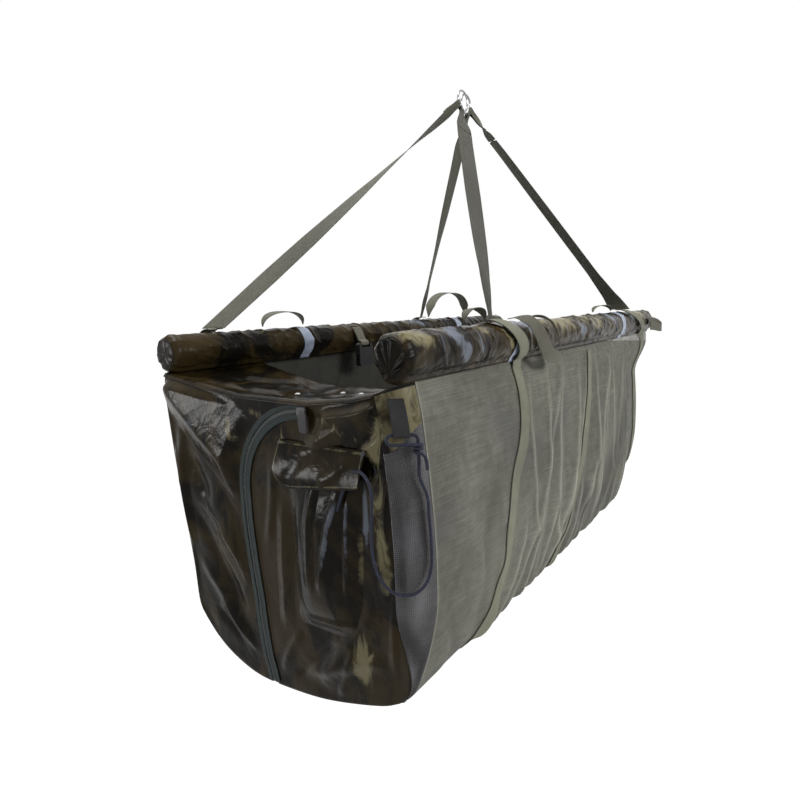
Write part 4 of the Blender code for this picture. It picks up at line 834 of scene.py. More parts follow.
def hood():
    """The cloth that runs in from the near end's top edge, sagging, its lip turned over the edge; its colour is
    darkened as painted shade.
    """
    inward = np.concatenate([np.linspace(-HOOD_OVER, 0.006, 8), np.linspace(0.008, 0.040, 16),
                             np.linspace(0.045, 0.200, 40)])[:, None]
    t = np.linspace(0, 1, 110)[None, :]
    inset = np.clip(CORNER_R - inward, 0, CORNER_R)
    front = front_y(HOOD_FRONT_Z) + CORNER_R - np.sqrt(CORNER_R**2 - inset**2)
    front = front + (CLOTH / 2 + GAP + OVER_NET) * ease((inward - CORNER_R + 0.016) / 0.016)
    rear = rear_y(HOOD_REAR_Z) - CLOTH / 2 - GAP - 0.0004
    x, y = NEAR_X + inward + 0 * t, front + (rear - front) * t
    sag = 0.010 * np.sin(np.pi * t) * ease(inward / 0.12)
    lip = 0.0060 * (1 - np.sqrt(np.clip((inward + HOOD_OVER) / 0.008, 0, 1)))
    free = ease((inward - 0.004) / 0.03) * ease(t / 0.05) * ease((1 - t) / 0.05)
    wrinkle = folds(x, y, HOOD_FOLDS) - 0.0035 + 0.0010 * ripple(x, y, 0.05, 2.2)
    wrinkle = wrinkle + 0.0045 * crumple(x, y, 0.06, 1.3)
    z = crease(y) - sag + wrinkle * free - lip
    grid = np.stack([x, y, z], -1)
    piece = cloth("near_hood_cloth", grid, CAMO_SHADED, "sling", ["near_hood"])


corner_edge = corner_net()
corner_cloth()
hood()

# The zip's line: an arc at the top, then a run that leans in towards the floor
zip_tail = [(ZIP_Y + ZIP_R, ZIP_Z), (0.0455, -0.740), (0.0405, -0.797), (0.0340, -0.850), (0.0295, -0.900),
            (0.0240, -0.940), (0.0160, -0.970), (0.0130, -0.9835)]
arc = [(ZIP_Y + ZIP_R * math.cos(a), ZIP_Z + ZIP_R * math.sin(a)) for a in np.radians(np.linspace(92, 8, 15))]
zip_path = smooth_path(arc + zip_tail, 200)
zip_dir = unit(np.gradient(zip_path, axis=0))
zip_out = np.stack([-zip_dir[:, 1], zip_dir[:, 0]], 1)
zip_way = run_length(zip_path)
SLOT_HALF = 0.006

# Where the near panels are crushed: (y, z, half length, half width, turn, strength)
CRUSHED = [(0.066, -0.580, 0.030, 0.016, 60, 0.9), (-0.060, -0.600, 0.060, 0.020, 0, 0.7),
           (-0.205, -0.700, 0.10, 0.020, 86, 0.6), (-0.160, -0.900, 0.05, 0.03, 88, 0.6)]


def zip_side(offset):
    """The zip's line moved sideways; positive is towards the rear and top."""
    return zip_path + zip_out * np.broadcast_to(offset, (len(zip_path),))[:, None]


def depth_share(line):
    """How far down the panel a point is: 0 at the crease, 1 at the floor."""
    top = crease(line[:, 0]) - UNDER
    return (top - line[:, 1]) / (top - floor_z(line[:, 0]))


def roof(a, b, lines):
    """Sum of pitched folds: height at the ridge, falling evenly over one width each side of it.

    A line is (a0, b0, a1, b1, height, left width, right width).
    """
    total = np.zeros(np.broadcast(a, b).shape)
    for a0, b0, a1, b1, height, left, right in lines:
        length = math.hypot(a1 - a0, b1 - b0)
        ua, ub = (a1 - a0) / length, (b1 - b0) / length
        along = ((a - a0) * ua + (b - b0) * ub) / length
        off = (a - a0) * ub - (b - b0) * ua
        far = np.sqrt(np.where(off > 0, off / right, -off / left) ** 2 + 0.003)
        fade = ease((along + 0.10) / 0.25) * ease((1.10 - along) / 0.25)
        total = total + height * np.clip(1 - far, 0, 1) * fade
    return total


def panel_relief(y, z, creases, roofs):
    """How far a near panel stands out: folds and roofs, a slow ripple, and crumpling where it is crushed."""
    crushed = 0.22 + spots(y, z, CRUSHED)
    out = folds(y, z, creases) + roof(y, z, roofs) + 0.0016 * ripple(y, z, 0.10, 0.7)
    return out + (0.0050 * crumple(y, z, 0.052, 0.7) + 0.0014 * crumple(y, z, 0.022, 2.3)) * crushed


def end_panel(name, node, left, right, creases, roofs, smudges_and_highlights, rows=190, columns=170):
    """A panel between two side lines; rows keep one share of the depth, so its top and bottom fit the bag."""
    v, u = np.linspace(0, 1, rows)[:, None], np.linspace(0, 1, columns)[None, :]
    edges = []
    for line in (left, right):
        share = depth_share(line)
        order = np.argsort(share)
        edges.append(np.interp(v, share[order], line[order, 0]))
    y = edges[0] + (edges[1] - edges[0]) * u
    top = crease(y) - UNDER
    z = top + (floor_z(y) - top) * v
    hem = ease(v / 0.04) * ease((1 - v) / 0.05) * ease(u / 0.06) * ease((1 - u) / 0.06)
    at_zip = np.min(np.hypot(y[..., None] - zip_path[::8, 0], z[..., None] - zip_path[::8, 1]), axis=-1)
    out = panel_relief(y, z, creases, roofs) * hem
    out = np.where(out > 0, out * ease((at_zip - 0.014) / 0.03), out) - 0.0012 * hem
    piece = cloth(name, np.stack([PANEL_X - out, y, z], -1), CAMO, "sling", [node],
                  uv=np.stack([y, z], -1))
    # Straw as print, blue-grey as painted highlight streaks.
    marks(piece, spots(y, z, smudges_and_highlights[0]), spots(y, z, smudges_and_highlights[1]))
    return piece


# Side lines of the two panels: from the crease, down the corner, the slot or the rear net, to the floor
slot_rear, slot_front = zip_side(SLOT_HALF), zip_side(-SLOT_HALF)
split = zip_path[0, 0] - SLOT_HALF
split_top = (split, crease(split) - UNDER)
front_edge = corner_edge + (0.0010, 0.0)
front_top = (front_edge[0, 0] + 0.004, crease(front_edge[0, 0]) - UNDER)
front_left = np.vstack([front_top, front_edge, (-0.2225, floor_z(-0.2225))])
front_right = np.vstack([split_top, slot_front, (slot_front[-1, 0] - 0.001, floor_z(slot_front[-1, 0]))])
rear_left = np.vstack([split_top, slot_rear, (slot_rear[-1, 0], floor_z(slot_rear[-1, 0]))])
rear_zs = np.linspace(-0.545, -0.9255, 40)
rear_edge = np.stack([rear_y(rear_zs), rear_zs], 1)
rear_right = np.vstack([(0.2255, crease(0.2255) - UNDER), rear_edge, (0.1735, floor_z(0.1735))])
FRONT_CREASES = [(-0.200, -0.885, -0.060, -0.935, 0.0045, 0.010),
                 (-0.150, -0.880, -0.120, -0.960, 0.0035, 0.007),
                 (-0.110, -0.880, -0.040, -0.960, -0.0040, 0.008),
                 (-0.050, -0.890, 0.000, -0.960, 0.0035, 0.008),
                 (-0.020, -0.640, 0.010, -0.760, 0.0030, 0.008),
                 (-0.235, -0.560, -0.175, -0.600, -0.0050, 0.005)]
REAR_CREASES = [(0.190, -0.650, 0.110, -0.770, -0.0050, 0.016),
                (0.185, -0.740, 0.075, -0.880, -0.0050, 0.014),
                (0.170, -0.830, 0.060, -0.940, 0.0045, 0.012), (0.140, -0.900, 0.050, -0.955, -0.0035, 0.010),
                (0.205, -0.600, 0.195, -0.850, 0.0040, 0.010)]
FRONT_ROOFS = [(-0.235, -0.530, -0.089, -0.613, 0.0110, 0.034, 0.018),
               (-0.232, -0.545, -0.110, -0.570, 0.0050, 0.014, 0.014),
               (-0.185, -0.815, -0.089, -0.946, 0.0055, 0.016, 0.030),
               (-0.232, -0.570, -0.205, -0.780, 0.0050, 0.012, 0.012),
               (-0.235, -0.700, -0.215, -0.880, 0.0040, 0.010, 0.008),
               (-0.030, -0.700, -0.020, -0.880, 0.0040, 0.014, 0.020)]
REAR_ROOFS = [(0.232, -0.528, 0.024, -0.698, 0.0180, 0.040, 0.088),
              (0.150, -0.720, 0.042, -0.832, 0.0090, 0.022, 0.050),
              (0.215, -0.640, 0.195, -0.800, 0.0045, 0.014, 0.018),
              (0.120, -0.880, 0.050, -0.950, 0.0040, 0.020, 0.016)]
# Straw marks are print; the blue-grey marks in each second list are painted highlight streaks.
FRONT_SMUDGES_AND_HIGHLIGHTS = ([(-0.205, -0.700, 0.110, 0.016, 86, 0.9), (-0.165, -0.895, 0.045, 0.020, 88, 1.0),
                  (-0.215, -0.570, 0.040, 0.014, 120, 0.8), (-0.150, -0.582, 0.060, 0.008, 28, 0.6),
                  (-0.040, -0.610, 0.020, 0.010, 60, 0.6)],
                 [(-0.180, -0.700, 0.060, 0.006, 92, 0.8), (-0.206, -0.800, 0.040, 0.007, 80, 0.6)])
REAR_SMUDGES_AND_HIGHLIGHTS = ([(0.065, -0.595, 0.026, 0.012, 60, 0.9), (0.020, -0.570, 0.030, 0.008, 15, 0.6)],
                [(0.180, -0.560, 0.040, 0.016, 28, 0.4)])
panel_front = end_panel("zipped_panel_front", "near_panel_front", front_left, front_right, FRONT_CREASES,
                        FRONT_ROOFS, FRONT_SMUDGES_AND_HIGHLIGHTS)
panel_rear = end_panel("zipped_panel_rear", "near_panel_rear", rear_left, rear_right, REAR_CREASES,
                       REAR_ROOFS, REAR_SMUDGES_AND_HIGHLIGHTS)

# Zip: its tapes, teeth, slider and pull
TAPE_X = PANEL_X - 0.0013
TAPE_IN, TAPE_OUT = 0.0043, 0.0115
CHAIN_BACK, CHAIN_THICK, SLIDER_THICK = 0.0004, 0.0015, 0.0036
PULL_HALF, PULL_LENGTH = 0.0008, 0.0297


def zip_tape(side, low, high):
    """A strip of tape between two offsets from the zip's line, lying a little unevenly."""
    t = np.linspace(0, 1, 9)[None, :]
    flat = zip_side(low)[:, None] * (1 - t[..., None]) + zip_side(high)[:, None] * t[..., None]
    rise = 0.0004 * ripple(zip_way[:, None], 0 * t, 0.03, 1.5)
    grid = np.concatenate([(TAPE_X - rise)[..., None], flat], -1)
    uv = np.stack(np.meshgrid(zip_way, np.linspace(-0.0055, 0.0055, 9), indexing="ij"), -1)
    piece = cloth("zip_tape_cloth_" + side, grid, ZIP_TAPE, "sling", ["zip_tape_" + side], uv=uv)


def zip_teeth():
    """Two rows of interlocking teeth: each is a small crowned block, turned to follow the zip's line."""
    pitch, size, high = 0.0016, 0.0014, 0.0013
    count = 2 * int(zip_way[-1] / pitch)
    at = (np.arange(count) * 0.5 + 0.5) * pitch
    sign = np.where(np.arange(count) % 2 == 0, 1.0, -1.0)
    centre = np.stack([np.interp(at, zip_way, zip_path[:, k]) for k in (0, 1)], 1)
    along = unit(np.stack([np.interp(at, zip_way, zip_dir[:, k]) for k in (0, 1)], 1))
    over = np.stack([-along[:, 1], along[:, 0]], 1)
    block = np.array([(l, w, h) for h, k in ((-1, 1.0), (0.4, 1.0), (1, 0.55)) for l, w in
                      ((-0.42 * k, -0.4), (0.42 * k, -0.4), (0.42 * k, 2.6 * k), (-0.42 * k, 2.6 * k))])
    yz = centre[:, None] + along[:, None] * (block[None, :, :1] * size)
    yz = yz + over[:, None] * (sign[:, None, None] * block[None, :, 1:2] * size)
    x = np.broadcast_to(PANEL_X - CHAIN_BACK - block[:, 2] * high, yz.shape[:2])
    points = np.concatenate([x[..., None], yz], -1).reshape(-1, 3)
    walls = [(r + k, r + (k + 1) % 4, r + 4 + (k + 1) % 4, r + 4 + k) for r in (0, 4) for k in range(4)]
    faces = np.array([(3, 2, 1, 0), (8, 9, 10, 11)] + walls)
    faces = np.where(sign[:, None, None] < 0, faces[None, :, ::-1], faces[None])
    faces = (faces + len(block) * np.arange(count)[:, None, None]).reshape(-1, 4)
    mesh = bpy.data.meshes.new("zip_teeth")
    mesh.from_pydata(points.tolist(), [], faces.tolist())
    mesh.update()
    dress("zip_teeth", mesh, TEETH, "sling", ["zip_chain"])


def refinish(node, material):
    """A solid that stays as it is, in a new material."""
    NODES[node].data.materials.clear()
    NODES[node].data.materials.append(material)


def zip_pull():
    """A folded tape that hangs from the slider, narrower at both ends and bowed outwards."""
    x = PANEL_X - CHAIN_BACK - CHAIN_THICK - GAP - SLIDER_THICK - GAP - PULL_HALF
    t, u = np.linspace(0, 1, 40)[:, None], np.linspace(-1, 1, 11)[None, :]
    half = 0.0045 + 0.0025 * ease(t / 0.25) - 0.0022 * ease((t - 0.9) / 0.1)
    down = PULL_LENGTH * t + 0 * u
    x = x - 0.0012 * np.sin(np.pi * t) * (1 + 0.2 * u)
    grid = np.stack([x, ZIP_Y - 0.008 + half * u, ZIP_Z + ZIP_R + 0.0020 - down], -1)
    uv = np.stack([down, half * u], -1)
    piece = cloth("zip_pull_tape", grid, PULL, "pull", ["zip_pull"], 0.0014, uv, True)


zip_tape("rear", TAPE_IN, np.minimum(TAPE_OUT, 0.0085 + 0.010 * ease(np.linspace(0, 3, len(zip_path)))))
zip_tape("front", -TAPE_OUT, -TAPE_IN)
zip_teeth()
refinish("zip_slider", PLASTIC)
zip_pull()

# Far end: one plain coated panel
FAR_TOP, FAR_LOW = -0.545, -0.948

# How far the panel runs past the net's edges
SEAM = 0.0015
FAR_FOLDS = [(-0.20, -0.56, -0.05, -0.80, 0.006, 0.016), (0.20, -0.56, 0.06, -0.80, 0.006, 0.018),
             (-0.10, -0.55, -0.04, -0.70, -0.005, 0.014), (0.10, -0.55, 0.03, -0.72, 0.005, 0.012),
             (0.0, -0.56, 0.0, -0.90, 0.004, 0.020), (-0.15, -0.75, -0.02, -0.92, 0.005, 0.014),
             (0.14, -0.76, 0.04, -0.92, -0.005, 0.014)]


def far_edges(z):
    """Front and rear y of the bag's far section at a height."""
    s = np.linspace(0, 1, 400)
    floor_line = bag_point(FLOOR_PATH, s, BAG_FAR_X)
    sides = ((bag_point(FRONT_PATH, s, BAG_FAR_X), floor_line[:200]),
             (bag_point(REAR_PATH, s, BAG_FAR_X)[::-1], floor_line[200:][::-1]))
    found = []
    for wall, low in sides:
        line = np.vstack([wall, low])
        order = np.argsort(line[:, 2])
        found.append(np.interp(z, line[order, 2], line[order, 1]))
    return found


def far_panel():
    """The plain far panel: crowned and folded, its sides hugging the net's edges, its foot tucked under."""
    z = np.concatenate([np.linspace(FAR_TOP, -0.89, 70), np.linspace(-0.895, FAR_LOW, 24)])[:, None]
    front, rear = far_edges(z)
    across = np.linspace(0, 1, 90)[None, :]
    y = front - SEAM + (rear - front + 2 * SEAM) * across
    low_line = bag_point(FLOOR_PATH, np.linspace(0, 1, 200), BAG_FAR_X - DRAWN_IN)
    foot = np.minimum(0, np.interp(y, low_line[:, 1], low_line[:, 2]) - FAR_LOW) - 0.002
    cloth_z = z + foot * ease((-0.88 - z) / 0.068)
    bulge = folds(y, cloth_z, FAR_FOLDS) + 0.002 * ripple(y, cloth_z, 0.08, 1.1)
    bulge = bulge * ease(across / 0.06) * ease((1 - across) / 0.06) * ease((z - FAR_LOW) / 0.06)
    crown = 0.010 * np.sin(np.pi * across) * ease((z - FAR_LOW) / 0.20)
    tuck = 0.0060 * ease((-0.925 - z) / 0.023)
    hug = 0.0030 * (1 - ease(across / 0.025) * ease((1 - across) / 0.025))
    x = bag_end(plain_z(z)) + CLOTH / 2 + 2 * GAP + crown - tuck - hug + bulge
    grid = np.stack([x, y, cloth_z], -1)
    piece = cloth("far_end_cloth", grid, CAMO, "sling", ["far_end_panel"])


far_panel()

# Cord pocket: a soft shell open at its top, and its flap
POCKET_FRONT, POCKET_REAR, POCKET_TOP, POCKET_LOW, POCKET_DEPTH = -0.1775, -0.0440, -0.640, -0.868, 0.023
pocket_back = PANEL_X - GAP
POCKET_ROOFS = [(-0.140, -0.670, -0.112, -0.795, 0.0050, 0.008, 0.016),
                (-0.158, -0.665, -0.152, -0.800, 0.0045, 0.006, 0.010),
                (-0.100, -0.660, -0.090, -0.800, 0.0035, 0.012, 0.012),
                (-0.165, -0.840, -0.070, -0.852, 0.0035, 0.008, 0.012)]
POCKET_STRAW = [(-0.172, -0.740, 0.08, 0.008, 90, 0.7)]
# Blue-grey streaks along the pocket's pitched folds are painted highlights.
POCKET_BLUE_HIGHLIGHTS = [(-0.127, -0.735, 0.070, 0.005, -77, 1.0), (-0.155, -0.735, 0.070, 0.004, -88, 0.9)]
FLAP_TOP, FLAP_FRONT, FLAP_REAR = -0.6030, -0.1870, -0.0330
FLAP_LOW_Y = (FLAP_FRONT, -0.068, -0.055, -0.040, FLAP_REAR)
FLAP_LOW_Z = (-0.6480, -0.6640, -0.6630, -0.6520, -0.6380)
FLAP_FOLDS = [(-0.165, -0.615, -0.120, -0.650, 0.0022, 0.008),
              (-0.100, -0.608, -0.060, -0.655, -0.0018, 0.010)]


def pocket():
    """A pillow with pitched folds, flat at its sides and foot and open at its top."""
    v, u = np.linspace(0, 1, 150)[:, None], np.linspace(0, 1, 150)[None, :]
    y = (POCKET_FRONT + 0.010 * v) * (1 - u) + (POCKET_REAR - 0.003 * v) * u
    z = POCKET_TOP + (POCKET_LOW - POCKET_TOP) * v + 0 * u
    foot = 1 - np.clip((v - 0.62) / 0.38, 0, 1) ** 2.6
    pillow = (1 - np.abs(2 * u - 1) ** 2.6) * (0.45 + 0.55 * ease(v / 0.34)) * foot
    puff = roof(y, z, POCKET_ROOFS) + 0.0020 * crumple(y, z * 0.6, 0.034, 1.7) - 0.0035
    out = (POCKET_DEPTH + 0.0012) * pillow + puff * np.minimum(1.0, 2 * pillow)
    grid = np.stack([PANEL_X + 0.0015 - np.maximum(0.0, out), y, z], -1)
    piece = cloth("cord_pocket_cloth", grid, CAMO_SHADED, "sling", ["pocket_body"])
    marks(piece, spots(y, z, POCKET_STRAW), spots(y, z, POCKET_BLUE_HIGHLIGHTS))


def flap():
    """The flap falls from its sewn top out over the pocket, with a pale stitched hem."""
    t = np.linspace(0, 1, 50)[:, None]
    y = np.linspace(FLAP_FRONT, FLAP_REAR, 90)[None, :] + 0 * t
    low = np.interp(y, FLAP_LOW_Y, FLAP_LOW_Z)
    z = FLAP_TOP + (low - FLAP_TOP) * t
    fall = np.clip((FLAP_TOP - z) / 0.048, 0, 1)
    hinge_x = PANEL_X - 0.0012
    out_x = pocket_back - POCKET_DEPTH - CLOTH / 2 + 0.0045
    wave = folds(y, z, FLAP_FOLDS) + 0.0005 * crumple(y, z, 0.030, 1.4)
    x = hinge_x + (out_x - hinge_x) * (1.32 * fall - 0.32 * fall**3) ** 0.95 - wave * ease(t / 0.3)
    grid = np.stack([x, y, z], -1)
    piece = cloth("pocket_flap_cloth", grid, CAMO_SHADED, "flap", ["pocket_flap"], 0.0010)
    to_edge = np.minimum(np.minimum(y - FLAP_FRONT, FLAP_REAR - y), (z - low) * 0.9)
    hem = 1.2 * np.exp(-((to_edge - 0.0030) / 0.0016) ** 2) + np.exp(-((FLAP_TOP - z - 0.004) / 0.0018) ** 2)
    marks(piece, 0.8 * hem, 0.55 * hem)


pocket()
flap()


# Webs laid over the tubes and down the cloth
TURN = np.arange(-10, 151, 4)
S_FRONT, S_FLOOR, S_REAR = np.linspace(0.03, 1, 90), np.linspace(0, 1, 70), np.linspace(0, 0.97, 80)
Z_FRONT = on_path(FRONT_PATH, S_FRONT)[:, 1]
BELL = np.exp(-np.linspace(-2, 2, 13) ** 2)


def tube_rows(y, sign, degrees):
    """Rows over a tube's outer face; 0 degrees is its top."""
    a = np.radians(degrees)
    return lambda x: np.stack([x, y + sign * WEB_TUBE_R * np.sin(a), TUBE_Z + WEB_TUBE_R * np.cos(a)], -1)


def bag_rows(path, s):
    """Rows on the folded cloth, just outside it."""
    return lambda x: bag_surface(path, s, x, WEB_THICK / 2 + CLOTH / 2 + GAP + 0.0003)


def soften(values):
    """Each value averaged with its neighbours by a bell-shaped weight."""
    padded = np.pad(values, 6, "reflect", reflect_type="odd")
    return np.convolve(padded, BELL / BELL.sum(), "valid")


def web(name, node, pieces):
    """One strip made of pieces, its columns keeping the webbing's width on the slant.

    A piece is (rows function, x of its middle at each row).
    """
    x = np.concatenate([np.asarray(at, float) for _, at in pieces])
    middle = np.vstack([rows(np.asarray(at, float)) for rows, at in pieces])
    slant = unit(np.gradient(middle, axis=0))[:, 0]
    wide = WEB_HALF / np.sqrt(1 - np.clip(slant, -0.75, 0.75) ** 2)
    ends = np.cumsum([0] + [len(at) for _, at in pieces])
    shares = np.linspace(-1, 1, 9)
    columns = []
    for v in shares:
        parts = [rows(x[a:b] + v * wide[a:b]) for (rows, _), a, b in zip(pieces, ends[:-1], ends[1:])]
        columns.append(np.vstack(parts))
    uv = np.stack(np.meshgrid(run_length(middle), shares * WEB_HALF, indexing="ij"), -1)
    return cloth(name, np.stack(columns, 1), WEB, "sling", [node], 0.0014, uv, True)


def near_cradle():
    """From the front tube's top down the front, under the bag and up over the rear tube."""
    x_front = np.interp(-Z_FRONT, (0.52, 0.56, 0.62, 0.665, 0.70, 0.76, 0.82, 0.87, 0.92),
                        (-0.285, -0.277, -0.278, -0.300, -0.332, -0.350, -0.368, -0.402, -0.438))
    web("near_cradle_webbing", "near_cradle_web",
        [(tube_rows(FRONT_Y, -1, TURN), -0.340 + 0.055 * ease((TURN + 6) / 152)),
         (bag_rows(FRONT_PATH, S_FRONT), soften(x_front)),
         (bag_rows(FLOOR_PATH, S_FLOOR), np.linspace(-0.440, -0.495, 70)),
         (bag_rows(REAR_PATH, S_REAR), np.linspace(-0.496, -0.500, 80)),
         (tube_rows(REAR_Y, 1, TURN[::-1]), np.full(len(TURN), -0.500))])


def far_cradle():
    """From the front net's top, under the bag and up over the rear tube."""
    x_front = np.interp(-Z_FRONT, (0.52, 0.56, 0.631, 0.707, 0.80, 0.848, 0.90),
                        (0.080, 0.060, 0.036, 0.000, -0.060, -0.090, -0.150))
    web("far_cradle_webbing", "far_cradle_web",
        [(bag_rows(FRONT_PATH, S_FRONT), soften(x_front)),
         (bag_rows(FLOOR_PATH, S_FLOOR), np.linspace(-0.158, 0.100, 70)),
         (bag_rows(REAR_PATH, S_REAR), np.linspace(0.110, 0.150, 80)),
         (tube_rows(REAR_Y, 1, TURN[::-1]), np.full(len(TURN), 0.150))])


def far_edge():
    """From the front tube's top to the bag's far edge, and down beside it."""
    edge_in = np.interp(-Z_FRONT, (0.52, 0.60, 0.9), (0.062, 0.024, 0.024))
    web("far_edge_webbing", "far_edge_web",
        [(tube_rows(FRONT_Y, -1, TURN), 0.360 + 0.135 * ease((TURN + 6) / 170)),
         (bag_rows(FRONT_PATH, S_FRONT[:-6]), soften(bag_end(Z_FRONT) - edge_in)[:-6])])


def strip(name, node, body, path, across, half, finish, thick, columns=9):
    """Webbing along a path: across gives its side direction and half its half width at each point."""
    share = np.linspace(-1, 1, columns)[None, :, None]
    half = np.broadcast_to(np.asarray(half, float), (len(path),))
    grid = np.asarray(path)[:, None, :] + share * (unit(across) * half[:, None])[:, None, :]
    uv = np.stack([np.repeat(run_length(path)[:, None], columns, 1), share[..., 0] * half[:, None]], -1)
    return cloth(name, grid, finish, body, [node], thick, uv, True)


FAR_LOOP = [(0.520, -0.2592, -0.4900), (0.545, -0.2593, -0.4905), (0.575, -0.2602, -0.4925),
            (0.600, -0.2626, -0.4965), (0.6135, -0.2680, -0.5030), (0.6060, -0.2735, -0.5090),
            (0.580, -0.2720, -0.5080), (0.550, -0.2670, -0.5040), (0.525, -0.2622, -0.5020)]
near_cradle()
far_cradle()
far_edge()
strip("far_end_webbing_loop", "far_end_loop", "sling", smooth_path(FAR_LOOP, 90),
      np.tile((0.0, 0.0, 1.0), (90, 1)), 0.011, HANDLE, WEB_THICK)

# Lifting straps: from each tube's top to the rings, looped round the wire
LOOP_HALF_ANGLE, TAIL_LENGTH = 20.0, 0.050


def strap(name, body, base, ring, mirror, degrees, axis, width_at, twist_at, finish):
    """A strap in the plane of its hinge axis, twisting on its way up to a loop on the ring wire.

    Row at distance d below the wire: top - d up + v (half w + shear up), bent to the ring's curve near it.
    """
    mid = math.radians(degrees)
    share = np.linspace(-1, 1, 11)
    angles = mid + math.radians(LOOP_HALF_ANGLE) * share
    radial = np.stack([mirror * np.sin(angles), 0 * angles, -np.cos(angles)], 1)
    wire_line = ring + RING_R * radial
    out = np.array((mirror * math.sin(mid), 0.0, -math.cos(mid)))
    along = np.array((mirror * math.cos(mid), 0.0, math.sin(mid)))
    top = ring + RING_R * out
    length = np.linalg.norm(top - base)
    up = (top - base) / length
    lean = float(np.dot(axis, up))
    first = unit(axis - lean * up)
    second = np.cross(up, first)
    pull = unit(-up - np.dot(-up, along) * along)
    cross = unit(np.cross(along, pull))
    tilt = math.atan2(np.dot(pull, (0, 1, 0)), np.dot(pull, out))
    loop_out = math.cos(tilt) * radial + math.sin(tilt) * np.array((0, 1, 0))
    loop_over = -math.sin(tilt) * radial + math.cos(tilt) * np.array((0, 1, 0))
    over_sign = np.sign(np.dot(cross, loop_over[5]))
    last = math.radians(twist_at[1][-1])
    end_twist = math.atan2(np.dot(along, second), np.dot(along, first))
    end_twist += math.pi * round((last - end_twist) / math.pi)
    fractions = list(twist_at[0]) + [1.0]
    even = np.linspace(0, 1, 201)
    twist_line = soften(np.interp(even, fractions, list(np.radians(twist_at[1])) + [end_twist]))
    twist_line[-1] = end_twist
    width_line = soften(np.interp(even, width_at[0], width_at[1]))
    loop_r = RING_WIRE_R + 0.0004 + STRAP_THICK / 2
    flat = STRAP_THICK / 2 + 0.00025

    def row(d, side):
        """One row across the strap at a distance below the ring wire."""
        f = 1 - d / length
        twist = np.interp(f, even, twist_line)
        w = math.cos(twist) * first + math.sin(twist) * second
        half = np.interp(f, even, width_line)
        shear = half * lean / math.sqrt(1 - lean**2) * (1 - ease(f / 0.07))
        if d < 0.08 and np.dot(w, along if math.cos(end_twist - twist) >= 0 else -along) < 0:
            w = -w
        normal = unit(np.cross(w, up))
        if np.dot(normal, cross) < 0:
            normal = -normal
        keep = 1 if side < 0 else 1 - ease((d - 0.06) / 0.06)
        apart = flat + (loop_r - flat) * (1 - ease(d / 0.016))
        cup = 0.0010 * np.sin(9 * f) * (1 - share[:, None] ** 2) * ease(f / 0.1) * ease((1 - f) / 0.25)
        straight = top - d * up + share[:, None] * (half * w + shear * up)
        straight = straight + (side * apart * keep + cup) * normal
        bent = wire_line - d * up + side * apart * loop_over * over_sign
        bent = bent if (np.sign(np.dot(w, along)) or 1.0) > 0 else bent[::-1]
        mixed = ease(d / 0.065)
        return bent * (1 - mixed) + straight * mixed

    down = np.concatenate([np.linspace(length + 0.0014, 0.14, 90)[:-1], np.linspace(0.14, 0.0, 50)])
    rows = [row(d, 1) for d in down]
    flip = rows[-1][0] @ along > rows[-1][-1] @ along
    for a in np.radians(np.linspace(90, 270, 17))[1:-1]:
        ring_row = wire_line + loop_r * (math.cos(a) * loop_out + over_sign * math.sin(a) * loop_over)
        rows.append(ring_row[::-1] if flip else ring_row)
    rows += [row(d, -1) for d in np.linspace(0.0, TAIL_LENGTH, 20)]
    below = np.concatenate([down, np.zeros(15), np.linspace(0.0, TAIL_LENGTH, 20)])
    uv = np.stack(np.meshgrid(below, share * STRAP_HALF, indexing="ij"), -1)
    thick = STRAP_THICK - 0.0002
    return cloth(name + "_webbing", np.array(rows), finish, body, [name], thick, uv, True)


BASES = {"rear_near": np.array((-0.500, REAR_Y, BRIDLE_Z)),
         "rear_far": np.array((0.150, REAR_Y, BRIDLE_Z)),
         "front_near": np.array((-0.340, FRONT_Y, BRIDLE_Z)),
         "front_far": np.array((0.360, FRONT_Y, BRIDLE_Z))}
NEAR_RING, FAR_RING = np.array((-0.0112, -0.0025, -0.0134)), np.array((0.0112, 0.0025, -0.0134))
NEAR_AXIS = unit(BASES["front_near"] - BASES["rear_near"])
FAR_AXIS = unit(BASES["front_far"] - BASES["rear_far"])

# Half width of a strap at fractions of its length, and its twist in degrees at fractions of its length
FULL_WIDTH = ((0.0, 0.88, 0.97, 1.0), (STRAP_HALF, STRAP_HALF, 0.013, 0.009))
NECK = ((0.0, 0.04, 0.09, 0.13, 0.18, 0.88, 0.97, 1.0),
        (0.003, 0.0035, 0.007, 0.013, STRAP_HALF, STRAP_HALF, 0.013, 0.009))
REAR_NEAR_TWIST = ((0.0, 0.2, 0.35, 0.42, 0.49, 0.56, 0.64, 0.72, 0.80, 0.88, 0.93),
                   (0, 4, -1, -7, -13, -19, -29, -36, -44, -55, -66))
FRONT_NEAR_TWIST = ((0.0, 0.04, 0.08, 0.12, 0.17, 0.23, 0.30, 0.40, 0.52, 0.90),
                    (0, 10, 40, 60, 69, 63, 58, 54, 50, 50))
REAR_FAR_TWIST = ((0.0, 0.04, 0.08, 0.12, 0.18, 0.30, 0.40, 0.55, 0.70, 0.90),
                  (0, 12, 45, 70, 84, 81, 78, 67, 62, 57))
FRONT_FAR_TWIST = ((0.0, 0.08, 0.20, 0.50, 0.70, 0.90), (0, -36, -52, -55, -58, -62))
strap("strap_rear_near", "near_bridle", BASES["rear_near"], NEAR_RING, -1, 65.0, NEAR_AXIS, FULL_WIDTH,
      REAR_NEAR_TWIST, STRAP)
strap("strap_front_near", "near_bridle", BASES["front_near"], NEAR_RING, -1, 22.0, NEAR_AXIS, NECK,
      FRONT_NEAR_TWIST, STRAP_SHADE)
strap("strap_rear_far", "far_bridle", BASES["rear_far"], FAR_RING, 1, 22.0, FAR_AXIS, NECK,
      REAR_FAR_TWIST, STRAP)
strap("strap_front_far", "far_bridle", BASES["front_far"], FAR_RING, 1, 65.0, FAR_AXIS, FULL_WIDTH,
      FRONT_FAR_TWIST, STRAP)


